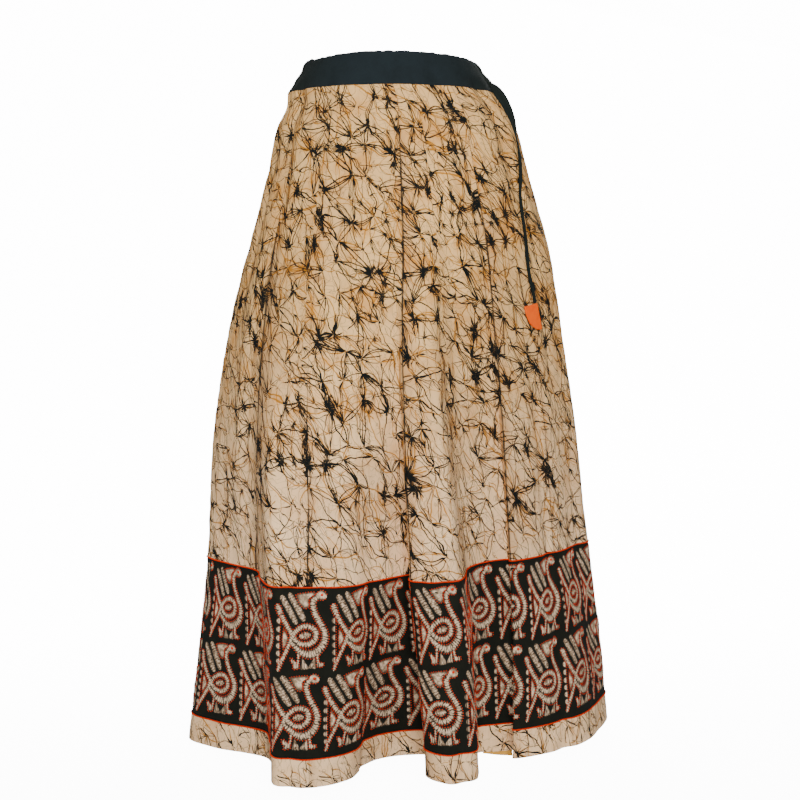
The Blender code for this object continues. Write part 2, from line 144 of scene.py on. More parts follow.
Tuck = namedtuple("Tuck", "seam_deg depth half_width_deg fades")
FRONT_TUCKS = (
    Tuck(-60, 0.006, 5.0, 0.20),
    Tuck(-37, 0.003, 4.0, 0.16),
    Tuck(-15, 0.004, 4.0, 0.30),
    Tuck(24, 0.003, 5.0, 0.26),
    Tuck(57, 0.007, 6.0, 0.34),
)
GATHER_DEPTH = 0.0028
GATHER_FADES = 0.13
PUCKERS = 24
PUCKER_DEPTH = 0.0024

Stop = namedtuple("Stop", "side forward z width facing_deg")
TIE_ROUTE = (
    Stop(0.1247, 0.0120, -0.0072, 0.0090, 62),
    Stop(0.1315, 0.0160, -0.0143, 0.0120, 45),
    Stop(0.1395, 0.0200, -0.0258, 0.0130, 32),
    Stop(0.1467, 0.0240, -0.0405, 0.0130, 30),
    Stop(0.1516, 0.0312, -0.0542, 0.0120, 36),
    Stop(0.1549, 0.0378, -0.0684, 0.0090, 46),
    Stop(0.1569, 0.0410, -0.0800, 0.0040, 60),
    Stop(0.1596, 0.0447, -0.0921, 0.0050, 66),
    Stop(0.1612, 0.0517, -0.1056, 0.0070, 62),
    Stop(0.1619, 0.0585, -0.1204, 0.0080, 57),
    Stop(0.1614, 0.0672, -0.1390, 0.0070, 50),
    Stop(0.1604, 0.0750, -0.1575, 0.0050, 50),
    Stop(0.1625, 0.0798, -0.1795, 0.0070, 54),
    Stop(0.1663, 0.0868, -0.2098, 0.0065, 55),
    Stop(0.1687, 0.0903, -0.2374, 0.0065, 52),
    Stop(0.1721, 0.0885, -0.2631, 0.0060, 52),
    Stop(0.1774, 0.0837, -0.2831, 0.0060, 52),
    Stop(0.1801, 0.0820, -0.2980, 0.0060, 51),
)
TAPE_THICK = 0.0018
TAB_TOP_EDGE = (-0.027, 0.004)
TAB_LONG_EDGE = (0.011, 0.034)
TAB_CORNER_PAST_TIE = 0.003
TAB_CORNER_BELOW_TIE = 0.0004
TAB_CORNER_PROUD = 0.0010
TAB_THICK = 0.0024
TAB_FACING_DEG = 48
TAB_FULLNESS = 0.85

# ---- What scene.py adds: creases, sewing and figures ----

# Creases laid over the fold lines. at_top and at_bottom count the fold lines from the
# left side seam, and run on round the back. A negative depth is a ridge.
Crease = namedtuple("Crease", "at_top at_bottom starts ends depth half_width")
CREASES = (
    Crease(0.6, 0.5, 0.02, 0.40, 0.0045, 0.010),
    Crease(1.5, 1.4, 0.10, 0.70, -0.0037, 0.014),
    Crease(2.3, 2.2, 0.05, 0.36, 0.0036, 0.009),
    Crease(4.3, 4.5, 0.30, 0.87, 0.0048, 0.011),
    Crease(4.8, 5.0, 0.22, 0.60, 0.0027, 0.008),
    Crease(5.4, 5.4, 0.42, 0.84, 0.0024, 0.004),
    Crease(5.8, 6.0, 0.02, 0.34, 0.0033, 0.012),
    Crease(6.3, 6.5, 0.10, 0.50, -0.0027, 0.013),
    Crease(6.7, 6.6, 0.50, 0.87, 0.0036, 0.012),
    Crease(7.4, 7.2, 0.04, 0.30, 0.0024, 0.008),
    Crease(9.4, 9.5, 0.30, 0.80, 0.0021, 0.008),
    Crease(10.3, 10.5, 0.34, 0.87, 0.0045, 0.011),
    Crease(12.4, 12.5, 0.10, 0.56, 0.0030, 0.010),
    Crease(13.0, 13.3, 0.03, 0.44, -0.0033, 0.012),
    Crease(14.2, 14.3, 0.02, 0.38, 0.0045, 0.009),
    Crease(16.4, 16.5, 0.26, 0.87, 0.0048, 0.013),
    Crease(17.4, 17.2, 0.02, 0.48, 0.0039, 0.010),
    Crease(18.3, 18.5, 0.14, 0.80, -0.0039, 0.014),
    Crease(20.6, 20.7, 0.02, 0.62, 0.0045, 0.012),
    Crease(23.4, 23.5, 0.18, 0.87, 0.0039, 0.012),
    Crease(26.7, 26.4, 0.06, 0.52, -0.0045, 0.015),
    Crease(28.5, 28.7, 0.24, 0.87, 0.0045, 0.010),
    Crease(32.5, 32.3, 0.02, 0.46, 0.0042, 0.012),
    Crease(35.4, 35.6, 0.20, 0.84, -0.0036, 0.013),
    Crease(38.6, 38.5, 0.04, 0.58, 0.0048, 0.011),
    Crease(41.5, 41.6, 0.30, 0.87, 0.0042, 0.012),
    Crease(44.4, 44.6, 0.02, 0.50, 0.0039, 0.010),
    Crease(46.5, 46.6, 0.16, 0.80, -0.0042, 0.014),
)
# The shares of its length over which a crease begins and dies away, and the crumples' height
CREASE_BEGINS_OVER = 0.25
CREASE_DIES_OVER = 0.35
CRUMPLE = 0.0011

# The inner facing that shows below the recess: how far it hangs out, between which lines, how far
# it lies behind the hem, and its section as shares of its depth and of the cloth's thickness
FACING_LEFT, FACING_RIGHT = 0.002, 0.008
FACING_FROM_LINE, FACING_TO_LINE = 12.35, 13.65
FACING_BEHIND = 0.0006
FACING_SECTION = ((-0.3, 0.5), (0.2, 0.5), (0.6, 0.55), (0.88, 0.8), (1.0, 0.5))

# Painted dark lines of shade along the folds, where the cloth turns out of sight: each one's
# strength, then the drops and the fold-line numbers it passes, from where it begins
FOLD_SHADE_LINES = (
    (2.2, (0.16, 2.0), (0.27, 2.1), (0.32, 2.6), (0.46, 2.87), (0.52, 2.5), (0.59, 1.95),
     (0.86, 2.1)),
    (0.8, (0.36, 5.2), (0.52, 5.2), (0.63, 5.06)), (1.0, (0.03, 9.0)), (0.4, (0.30, 11.6)),
    (1.0, (0.10, 15.0)), (0.4, (0.20, 16.7)), (1.0, (0.10, 20.0)), (0.7, (0.10, 24.0)),
    (1.0, (0.10, 28.0)), (0.5, (0.20, 32.0)), (1.0, (0.10, 36.0)), (0.8, (0.10, 40.0)),
    (1.0, (0.10, 44.0)),
)
# Over which length such a line grows to its full width, and the share of it that it begins with
LINE_BEGINS_OVER = 0.08
LINE_LEAST = 0.10
# Fold lines where cloth is hidden in a fold, so that the drawn crackle starts anew beside them,
# and the drop at which the crackle is drawn true to size
PATTERN_CUTS = (0, 2, 5, 9, 12, 15, 19, 24, 28, 32, 36, 40, 44, 48)
PATTERN_LEVEL = 0.45

# The meshes: how wide a column is at the hem, the fewest columns between two fold lines, and the
# angle from which an edge is sharp
COLUMN_WIDTH = 0.0034
FEWEST_COLUMNS = 5
SHARP_DEG = 50

# How high the sewing starts above the cloth, how long, wide and high an eye knot and a stitch of
# the edging are, and how far inside the border the edging runs and how much its stitches slant
STITCH_LIFT = 0.0003
EYE_KNOT = (0.0046, 0.0040, 0.0010)
EDGING_STITCH = (0.0034, 0.0019, 0.0012)
EDGING_INSIDE = 0.0006
EDGING_SLANT = 0.35
# How far ahead and outwards the cloth is looked at to see how a stitch lies on it
STITCH_LOOKS_AHEAD, EDGING_LOOKS_AHEAD = 0.0008, 0.0009
STITCH_LOOKS_OUT = 0.001
# How far the figures and the edging, and the stitches, keep from the side seams
FIGURES_INSET, STITCHES_INSET = 0.001, 0.002

# The border's figures, in millimetres on a tile whose top left corner is 0, 0 and whose y runs
# down: ribbons are carried along their points, with a width at each. A tone is the number of a
# row of FIGURE_DYES.
TILE_WIDTH = 70.0
ROW_PITCH = 104.0
FIRST_ROW = 4.0
LOWER_ROW_SHIFT = -11.0
# How uneven the drawing is, in metres
UNEVEN = 0.0016
# The steps along an outline and from stitch to stitch, and the points of a ribbon's round end
FIGURE_STEP = 2.3
STITCH_PITCH = 3.3
ROUND_END_DEGREES = (30, 55, 75, 88)
# How near a stitch comes to a ribbon's middle: to its own one, as a share of the half width, and
# to another one, in millimetres over its edge
OWN_EDGE_SHARE = 0.72
OTHER_EDGE_OVER = 0.2
Ribbon = namedtuple("Ribbon", "name tone stitched points")
RIBBONS = (
    Ribbon("loop", 0, True, (
        (4.2, 21, 8.4), (8.2, 31.5, 7.2), (15.4, 44, 7.2), (22.8, 54.6, 7.6), (29.8, 64.2, 7.8),
        (40.5, 67.4, 8.0), (50.2, 62.6, 8.2), (53.2, 54.0, 8.2), (49.4, 46.4, 8.0),
        (41.6, 43.8, 7.6), (33.0, 46.6, 7.2), (24.6, 55.4, 6.8), (19.4, 67.5, 6.2),
        (12.6, 81.5, 5.4), (8.0, 90, 5.6), (4.4, 100, 4.2))),
    Ribbon("neck", 0, True, (
        (55.5, 6.8, 7.4), (49.6, 14.0, 8.0), (51.6, 26.5, 7.8), (57.2, 38.5, 8.2),
        (63.0, 50.5, 9.0), (64.0, 61.0, 9.6), (59.6, 71.0, 10.6), (52.0, 77.6, 11.6),
        (43.4, 79.8, 11.6), (34.6, 77.0, 9.8), (27.2, 70.6, 7.4), (22.0, 65.8, 5.2))),
    Ribbon("head", 2, True, ((59.9, 6.2, 12.6), (60.2, 6.3, 12.6))),
    Ribbon("near_feather", 1, False, (
        (10.6, 9.5, 7.2), (16.6, 20.5, 8.6), (22.9, 31.2, 8.6), (27.6, 39.0, 7.0))),
    Ribbon("far_feather", 1, False, (
        (21.4, 6.5, 7.4), (27.8, 17.0, 8.8), (34.0, 27.4, 8.8), (37.8, 34.2, 7.4))),
    Ribbon("pupil", 1, True, ((36.0, 56.6, 7.0), (39.6, 55.6, 9.6), (43.4, 54.8, 7.0))),
    Ribbon("right_leg", 0, True, ((53.4, 79.0, 3.8), (53.8, 89.0, 3.6))),
    Ribbon("left_leg", 0, True, ((30.6, 79.5, 3.2), (29.4, 90.0, 3.2))),
)
Patch = namedtuple("Patch", "name tone stitched corners")
PATCHES = (
    Patch("crest", 2, True, (
        (28.0, 5.4), (34.0, 3.6), (42.0, 2.0), (52.0, 1.4), (55.0, 4.6), (48.6, 6.0),
        (45.2, 9.6), (44.6, 15.0), (46.0, 19.4), (43.0, 22.6), (38.6, 22.4), (34.0, 17.6),
        (30.6, 11.4))),
    Patch("wing", 2, True, (
        (11.2, 47.0), (14.4, 51.4), (18.6, 60.2), (16.0, 67.6), (11.0, 75.4), (10.2, 61.0))),
    Patch("right_foot", 0, True, (
        (51.8, 88.6), (55.8, 88.8), (57.2, 91.4), (61.2, 90.2), (63.2, 92.6), (61.4, 96.2),
        (51.8, 96.4))),
    Patch("left_foot", 0, True, (
        (19.0, 84.4), (22.4, 83.8), (26.4, 89.4), (30.6, 88.2), (30.8, 97.6), (21.4, 99.0),
        (23.0, 93.8), (19.6, 89.0))),
    Patch("left_peak", 1, False, (
        (31.4, 98.6), (33.4, 90.0), (34.4, 82.4), (38.6, 90.0), (43.0, 97.6))),
    Patch("right_peak", 1, False, (
        (40.6, 96.4), (45.4, 89.6), (50.6, 83.0), (50.8, 90.0), (51.4, 98.2))),
)
# The half discs beside the bird's tail
SCALLOP_YS = (38.0, 48.5, 59.5, 69.5, 79.0, 88.8)
SCALLOP_RADIUS = 6.0
SCALLOP_SQUASH = 0.84
SCALLOP_SIDE = 7.1
# A ribbon's section: places across it, from -1 to 1, and heights over its edges. Each ribbon lies
# a little higher than the one before it.
RIBBON_SECTION = ((-1.0, 0.0), (-0.5, 0.08), (0.0, 0.12), (0.5, 0.08), (1.0, 0.0))
RIBBON_LIFT, NEXT_RIBBON_LIFT = 0.22, 0.05
# A patch's rings and its middle: sizes, places across as a ribbon would have, and heights
PATCH_RINGS = ((1.0, 0.0, 0.20), (0.62, 0.26, 0.30))
PATCH_MIDDLE = (0.5, 0.32)
# The ends of the line of stitches on the half discs, and the bird's eye
DOTTED_LINE = ((7.6, 29.0), (7.4, 93.0))
EYE = (60.2, 5.6)


def smooth(x):
    x = min(max(x, 0.0), 1.0)
    return x * x * (3 - 2 * x)


def run_of(line):
    """The distance along a line of points from its first point to each."""
    return np.concatenate([[0.0], np.cumsum(np.linalg.norm(np.diff(line, axis=0), axis=1))])


def closed(ring):
    """A ring's values with the first one again at the end."""
    return np.concatenate([ring, ring[:1]])


def spline(points, steps):
    """A smooth curve through rows of numbers, with this many steps from each row to the next."""
    rows = np.array(points, dtype=float)
    padded = np.vstack([2 * rows[0] - rows[1], rows, 2 * rows[-1] - rows[-2]])
    t = (np.arange(steps) / steps)[:, None]
    found = [
        0.5 * (2 * p1 + (p2 - p0) * t + (2 * p0 - 5 * p1 + 4 * p2 - p3) * t**2
               + (3 * p1 - p0 - 3 * p2 + p3) * t**3)
        for p0, p1, p2, p3 in zip(padded, padded[1:], padded[2:], padded[3:])
    ]
    return np.vstack(found + [rows[-1:]])


def stepped(line, step, fewest, ring=False):
    """A line's rows of numbers at even steps. A ring's last row would be its first again, so it
    is left out."""
    along = run_of(line[:, :2])
    count = max(fewest, round(along[-1] / step))
    even = np.linspace(0, along[-1], count + (not ring), endpoint=not ring)
    return np.column_stack([np.interp(even, along, column) for column in line.T])


def outline_at(drop):
    """The section's outline sizes at a drop, along smooth curves through the rows of SECTIONS."""
    if drop < 0:
        share = drop / BAND_TOP.drop
        return [a + (b - a) * share for a, b in zip(SECTIONS[0][1:], BAND_TOP[1:])]
    drops = [row.drop for row in SECTIONS]
    i = min(max(int(np.searchsorted(drops, drop)) - 1, 0), len(drops) - 2)
    span = drops[i + 1] - drops[i]
    t = (drop - drops[i]) / span

    def slope(k, column):
        low, high = max(k - 1, 0), min(k + 1, len(drops) - 1)
        return (SECTIONS[high][column] - SECTIONS[low][column]) / (drops[high] - drops[low])

    sizes = []
    for column in range(1, 5):
        a, b = SECTIONS[i][column], SECTIONS[i + 1][column]
        ma, mb = slope(i, column) * span, slope(i + 1, column) * span
        sizes.append(
            (2 * t**3 - 3 * t**2 + 1) * a + (t**3 - 2 * t**2 + t) * ma
            + (3 * t**2 - 2 * t**3) * b + (t**3 - t**2) * mb
        )
    return sizes


def place(drop, across, ahead):
    """The plan point at a share of the half width and of the front or back depth."""
    half_width, front, back, shift = outline_at(drop)
    return np.array([shift + half_width * across, -ahead * (front if ahead > 0 else back)])


def shares(drop, side, forward):
    """The reverse of place: a real side and forward distance as shares of the outline."""
    half_width, front, back, shift = outline_at(drop)
    return (side - shift) / half_width, forward / (front if forward > 0 else back)


def back_lines():
    """The back's fold lines, worked out from the rows of BACK_FOLDS."""
    first, last = FRONT_LINES[-1], FRONT_LINES[0]
    turn = {}
    for level, drop in (("border", BORDER_DROP), ("hem", HEM_DROP)):
        ends = []
        for line in (first, last):
            side = getattr(line, level + "_side")
            forward = getattr(line, level + "_forward")
            ends.append(math.atan2(*shares(drop, side, forward)))
        turn[level] = (ends[0], ends[1] + 2 * math.pi)
    lines, begun = [], 0.0
    spans = len(BACK_FOLDS) * len(BACK_SPOTS) + 1
    for number, fold in enumerate(BACK_FOLDS):
        for spot in BACK_SPOTS:
            share = begun + fold.share * spot.at
            gathered = (len(lines) + 1) / spans
            seam_deg = first.seam_deg + (last.seam_deg + 360 - first.seam_deg) * gathered
            numbers = []
            for level, drop in (("border", BORDER_DROP), ("hem", HEM_DROP)):
                angle = turn[level][0] + (turn[level][1] - turn[level][0]) * share
                x, y = place(drop, math.sin(angle), math.cos(angle))
                moved = -fold.hollow if spot.hollow else LOBE_PROUD
                moved *= BORDER_FOLD_SHARE if level == "border" else 1.0
                stretch = 1 + moved / math.hypot(x, y)
                numbers += [x * stretch, -y * stretch]
            lines.append(Line(f"back_{spot.name}_{number}", fold.starts, seam_deg, *numbers))
        begun += fold.share
    return lines


LINES = list(FRONT_LINES) + back_lines()
FRONT_SPANS = len(FRONT_LINES) - 1


def line_point(line, drop):
    """Where a fold line runs through the level at this drop."""
    border = shares(BORDER_DROP, line.border_side, line.border_forward)
    hem = shares(HEM_DROP, line.hem_side, line.hem_forward)
    if drop > BORDER_DROP:
        down = (drop - BORDER_DROP) / (HEM_DROP - BORDER_DROP)
        across, ahead = (a + (b - a) * down for a, b in zip(border, hem))
        return place(drop, across, ahead)
    down = drop / BORDER_DROP
    grown = smooth((drop - line.starts) / (BORDER_DROP - line.starts))
    angle = math.radians(line.seam_deg)
    if line in FRONT_LINES:
        across = math.sin(angle) + (border[0] - math.sin(angle)) * down
        unfolded = math.sqrt(max(1 - across * across, 0.0))
        return place(drop, across, unfolded + (border[1] - unfolded) * grown)
    angle += (math.atan2(*border) % (2 * math.pi) - angle) * down
    across, ahead = math.sin(angle), math.cos(angle)
    return place(drop, across + (border[0] - across) * grown, ahead + (border[1] - ahead) * grown)


def column_counts():
    """How many columns of points each span between fold lines gets, from its width at the hem."""
    hem = np.array([line_point(line, HEM_DROP) for line in LINES])
    widths = np.linalg.norm(np.roll(hem, -1, axis=0) - hem, axis=1)
    return [max(FEWEST_COLUMNS, round(width / COLUMN_WIDTH)) for width in widths]


COUNTS = column_counts()
# Each column's place among the fold lines, and on the waist seam in degrees from the front
LINE_AT = np.concatenate([i + np.arange(n) / n for i, n in enumerate(COUNTS)])
MARKS = np.append(LINE_AT, len(LINES))
LINE_DEGREES = [line.seam_deg for line in LINES] + [LINES[0].seam_deg + 360]
SEAM_DEGREES = np.interp(LINE_AT, np.arange(len(LINES) + 1), LINE_DEGREES)
RIGHT_SEAM_COLUMN = sum(COUNTS[:FRONT_SPANS])


def through(p0, p1, p2, p3, count):
    """Points on the centripetal curve from p1 to p2, without the last."""
    knots = [0.0]
    for a, b in ((p0, p1), (p1, p2), (p2, p3)):
        knots.append(knots[-1] + max(np.linalg.norm(b - a), 1e-6) ** 0.5)
    t0, t1, t2, t3 = knots
    t = (t1 + (t2 - t1) * np.arange(count) / count)[:, None]
    a1 = (t1 - t) / (t1 - t0) * p0 + (t - t0) / (t1 - t0) * p1
    a2 = (t2 - t) / (t2 - t1) * p1 + (t - t1) / (t2 - t1) * p2
    a3 = (t3 - t) / (t3 - t2) * p2 + (t - t2) / (t3 - t2) * p3
    b1 = (t2 - t) / (t2 - t0) * a1 + (t - t0) / (t2 - t0) * a2
    b2 = (t3 - t) / (t3 - t1) * a2 + (t - t1) / (t3 - t1) * a3
    return (t2 - t) / (t2 - t1) * b1 + (t - t1) / (t2 - t1) * b2


def normals_of(ring, closed_ring=True):
    """The outward normal at each point of a plan curve, with its mitre, for a curve that runs
    from the left over the front to the right."""
    if closed_ring:
        before, after = np.roll(ring, 1, axis=0), np.roll(ring, -1, axis=0)
    else:
        before = np.vstack([2 * ring[0] - ring[1], ring[:-1]])
        after = np.vstack([ring[1:], 2 * ring[-1] - ring[-2]])
    into, out = ring - before, after - ring
    into /= np.linalg.norm(into, axis=1)[:, None]
    out /= np.linalg.norm(out, axis=1)[:, None]
    mean = into + out
    mean /= np.maximum(np.linalg.norm(mean, axis=1), 1e-9)[:, None]
    mitre = np.minimum(1 / np.maximum((mean * out).sum(1), 1e-3), MOST_MITRE)
    return np.stack([mean[:, 1], -mean[:, 0]], axis=1), mitre


def bump_at(values, centre, half_width):
    """1 at the centre, falling smoothly to 0 on both sides of it."""
    return np.exp(-(((values - centre) / half_width) ** 2))


def crease_fade(crease, drop):
    """How much of a crease shows at a drop: it dies away at both of its ends."""
    length = crease.ends - crease.starts
    down = (drop - crease.starts) / length
    ends = 1.0 if crease.ends >= HEM_DROP else smooth((1 - down) / CREASE_DIES_OVER)
    return smooth(down / CREASE_BEGINS_OVER) * ends


def ripple(ring, drop):
    """How far tucks, gathers, creases and crumples move the cloth outwards at this level."""
    moved = np.zeros(len(ring))
    for tuck in FRONT_TUCKS:
        fade = 1 - smooth(drop / tuck.fades)
        moved -= tuck.depth * fade * bump_at(SEAM_DEGREES, tuck.seam_deg, tuck.half_width_deg)
    gathers = 0.5 - 1.5 * (0.5 + 0.5 * np.cos(2 * math.pi * LINE_AT)) ** 2
    fade = GATHER_DEPTH * (1 - smooth(drop / GATHER_FADES))
    moved += np.where(LINE_AT > FRONT_SPANS, gathers * fade, 0.0)
    along = run_of(closed(ring))
    for crease in CREASES:
        at = crease.at_top + (crease.at_bottom - crease.at_top) * drop / HEM_DROP
        shape = bump_at(along[:-1], np.interp(at, MARKS, along), crease.half_width)
        moved -= crease.depth * crease_fade(crease, drop) * shape
    return moved


def wave(x, y, z):
    """A smooth random height at a place, the same on each run."""
    return noise.noise(Vector((x, y, z)))


def crumple(ring, drop):
    """Small uneven waves of the cloth, longer down the skirt than across it."""
    calm = 0.35 + 0.65 * smooth(drop / 0.08)
    along = run_of(closed(ring))[:-1]
    waves = [wave(s * 30, drop * 7, 3.1) + 0.5 * wave(s * 75, drop * 22, 8.3) for s in along]
    seamless = np.minimum(1, np.minimum(along, along[-1] - along) / 0.02)
    return CRUMPLE * calm * np.array(waves) * seamless


@functools.lru_cache(maxsize=None)
def ring_at(drop):
    """The outer curve of the skirt's cloth at a level, one point for each column."""
    controls = [line_point(line, drop) for line in LINES]
    arounds = zip(*(np.roll(controls, k, axis=0) for k in (1, 0, -1, -2)))
    ring = np.concatenate([through(*around, count) for around, count in zip(arounds, COUNTS)])
    normal, _ = normals_of(ring)
    ring = ring + normal * ripple(ring, drop)[:, None]
    normal, _ = normals_of(ring)
    return ring + normal * crumple(ring, drop)[:, None]


PATTERN_ALONG = run_of(closed(ring_at(PATTERN_LEVEL)))


def parted(points, gap):
    """The curve with each of its ends drawn back along itself, or out for a gap below 0."""
    points = points.copy()
    for end, inner in ((0, 1), (-1, -2)):
        step = points[inner] - points[end]
        points[end] = points[end] + step * gap / np.linalg.norm(step)
    return points


def half_of(values, front):
    """The front's or the back's share of the values round a closed ring."""
    return values[: RIGHT_SEAM_COLUMN + 1] if front else values[RIGHT_SEAM_COLUMN:]


class Cloth:
    """A grid of points on a stretch of the skirt's cloth: a row for each level, with the place
    of each point on the flat cloth, and its distances from the painted dark lines of shade in the
    folds."""

    def __init__(self, drops, front, thickness, fixed_level=None):
        fixed = None if fixed_level is None else run_of(closed(ring_at(fixed_level)))
        rows = []
        for drop in drops:
            ring = ring_at(drop)
            normal, mitre = normals_of(ring)
            inside = ring - normal * (mitre * thickness)[:, None]
            along = run_of(closed(ring))
            level = along if fixed is None else fixed
            u = half_of(level, front) - np.interp(FRONT_SPANS // 2, MARKS, level)
            z = np.full(len(u), SEAM_Z - drop)
            sides = (half_of(closed(curve), front) for curve in (ring, inside))
            rows.append((
                *(np.column_stack([parted(side, -SEAM_LAP / 2), z]) for side in sides),
                np.column_stack([half_of(closed(normal), front), np.zeros(len(u))]),
                np.column_stack([u, np.full(len(u), drop)]),
                self.from_dark_lines(along, drop, front),
                self.drawn_across(along, front),
            ))
        self.outer, self.inner, self.normal, self.flat, self.dyed, self.drawn = map(
            np.array, zip(*rows)
        )

    @staticmethod
    def from_dark_lines(along, drop, front):
        """How far each point of a level lies to the right of each painted line of fold shade, the
        more so where the line is weak."""
        away = []
        for strength, *passed in FOLD_SHADE_LINES:
            at = np.interp(np.interp(drop, *zip(*passed)), MARKS, along)
            shown = np.clip((drop - passed[0][0]) / LINE_BEGINS_OVER, LINE_LEAST, 1.0)
            away.append((half_of(along, front) - at) / (strength * shown))
        return np.column_stack(away)

    @staticmethod
    def drawn_across(along, front):
        """Where each point of a level lies across the drawn crackle: for the cloth on its left,
        and for the cloth on its right, which differ at the cuts."""
        middles = (np.array(PATTERN_CUTS[1:]) + PATTERN_CUTS[:-1]) / 2
        moved = np.interp(middles, MARKS, PATTERN_ALONG) - np.interp(middles, MARKS, along)
        columns, along = half_of(MARKS, front), half_of(along, front)
        left = np.searchsorted(PATTERN_CUTS, columns, side="left") - 1
        right = np.searchsorted(PATTERN_CUTS, columns, side="right") - 1
        left[0], right[-1] = right[0], left[-1]
        return np.column_stack([along + moved[left], along + moved[right]])

    def sides(self, inset=0.0):
        """Where the piece begins and ends across the flat cloth, less an inset."""
        return self.flat[0, 0, 0] + inset, self.flat[0, -1, 0] - inset

    def at(self, u, v, lift):
        """Points at places on the flat cloth, lifted off its outer face."""
        across, down = self.flat[0, :, 0], self.flat[:, 0, 1]
        c = np.clip(np.searchsorted(across, u) - 1, 0, len(across) - 2)
        r = np.clip(np.searchsorted(down, v) - 1, 0, len(down) - 2)
        s = np.clip((u - across[c]) / (across[c + 1] - across[c]), 0, 1)[..., None]
        t = np.clip((v - down[r]) / (down[r + 1] - down[r]), 0, 1)[..., None]

        def between(grid):
            top = grid[r, c] * (1 - s) + grid[r, c + 1] * s
            bottom = grid[r + 1, c] * (1 - s) + grid[r + 1, c + 1] * s
            return top * (1 - t) + bottom * t

        return between(self.outer) + between(self.normal) * lift

    def sewn_at(self, u, v, du, dv):
        """Where stitches sit, and the ways that they run and that they stand up."""
        middles = self.at(u, v, STITCH_LIFT)
        ahead = self.at(u + du, v + dv, STITCH_LIFT)
        above = self.at(u, v, STITCH_LIFT + STITCH_LOOKS_OUT)
        return middles, ahead - middles, above - middles


def make_mesh(name, points, faces, materials, flat=None, face_materials=None, sharp=True):
    """A smooth-shaded object from points and faces, with the flat cloth's places as its UVs.
    Points that no face uses are left out."""
    used = np.zeros(len(points), dtype=bool)
    used[[point for face in faces for point in face]] = True
    if not used.all():
        number = np.cumsum(used) - 1
        faces = [tuple(number[list(face)].tolist()) for face in faces]
        points, flat = points[used], flat[used]
    mesh = bpy.data.meshes.new(name)
    mesh.from_pydata(points.tolist(), [], faces)
    for material in materials:
        mesh.materials.append(material)
    if flat is not None:
        layer = mesh.uv_layers.new(name="cloth")
        corners = np.empty(len(mesh.loops), dtype=np.int32)
        mesh.loops.foreach_get("vertex_index", corners)
        layer.data.foreach_set("uv", np.asarray(flat, dtype=np.float32)[corners].ravel())
    if face_materials is not None:
        mesh.polygons.foreach_set("material_index", face_materials)
    mesh.validate()
    mesh.shade_smooth()
    if sharp:
        mesh.set_sharp_from_angle(angle=math.radians(SHARP_DEG))
    obj = bpy.data.objects.new(name, mesh)
    bpy.context.scene.collection.objects.link(obj)
    return obj


def grid_faces(rows, columns, start=0, wrap=False, flip=False):
    """Quads over a grid of points, which joins up with itself round its columns if it wraps."""
    faces = []
    for a in range(start, start + (rows - 1) * columns, columns):
        b = a + columns
        for c in range(columns if wrap else columns - 1):
            d = (c + 1) % columns
            face = (a + c, b + c, b + d, a + d)
            faces.append(face[::-1] if flip else face)
    return faces


def shell(name, layers, flats, materials):
    """A closed shell of cloth from a loop of layers: each layer is a row-by-column grid, and the
    rows run down the outer face and up the inner one."""
    points = np.concatenate([layer.reshape(-1, 3) for layer in layers])
    flat = np.concatenate([f.reshape(-1, 2) for f in flats])
    rows, columns = layers[0].shape[:2]
    order = [r * columns for r in (*range(rows), *reversed(range(rows, 2 * rows)))]
    faces = []
    for a, b in zip(order, order[1:] + order[:1]):
        faces += [(a + c, b + c, b + c + 1, a + c + 1) for c in range(columns - 1)]
    for r in range(rows - 1):
        o, i = r * columns, (rows + r) * columns
        faces.append((o, i, i + columns, o + columns))
        faces.append((o + columns - 1, o + 2 * columns - 1, i + 2 * columns - 1, i + columns - 1))
    return make_mesh(name, points, faces, materials, flat)


def cloth_object(name, cloth, material):
    """A piece of the skirt as a closed shell. Each face keeps how far its corners lie from the
    painted line of fold shade nearest to it."""
    obj = shell(name, (cloth.outer, cloth.inner), (cloth.flat, cloth.flat), [material])
    corners = np.empty(len(obj.data.loops), dtype=np.int32)
    obj.data.loops.foreach_get("vertex_index", corners)

    def at_corners(grid):
        """A grid's values, the same for both sides of the shell, at the corners of its faces."""
        return np.concatenate([grid.reshape(-1, grid.shape[-1])] * 2)[corners]

    column = (corners % cloth.outer.shape[1]).reshape(-1, 4)
    on_left = (column == column.min(axis=1)[:, None]).ravel()
    drawn, down = at_corners(cloth.drawn), at_corners(cloth.flat)[:, 1]
    flat = np.column_stack([np.where(on_left, drawn[:, 1], drawn[:, 0]), down])
    obj.data.uv_layers["cloth"].data.foreach_set("uv", flat.astype(np.float32).ravel())
    dyed = at_corners(cloth.dyed).reshape(-1, 4, len(FOLD_SHADE_LINES))
    nearest = np.abs(dyed.sum(axis=1)).argmin(axis=1)
    values = np.take_along_axis(dyed, nearest[:, None, None], axis=2)
    attribute = obj.data.attributes.new("fold_distance", "FLOAT", "CORNER")
    attribute.data.foreach_set("value", values.ravel().astype(np.float32))
    return obj


# ---- Shader maths ----


def maths(operation, swapped=False):
    """A method that puts a socket, and another one or a number, through a Math node."""

    def method(self, *others):
        values = (*others, self) if swapped else (self, *others)
        settings = {"operation": operation}
        return self.nodes.node("ShaderNodeMath", settings, dict(enumerate(values)))

    return method


class Amount:
    """A node's output socket, which takes part in maths as a number would."""

    def __init__(self, nodes, socket):
        self.nodes, self.socket = nodes, socket

    __add__, __radd__ = maths("ADD"), maths("ADD", swapped=True)
    __sub__, __rsub__ = maths("SUBTRACT"), maths("SUBTRACT", swapped=True)
    __mul__, __rmul__ = maths("MULTIPLY"), maths("MULTIPLY", swapped=True)
    __truediv__, __rtruediv__ = maths("DIVIDE"), maths("DIVIDE", swapped=True)
    __abs__, __gt__ = maths("ABSOLUTE"), maths("GREATER_THAN")


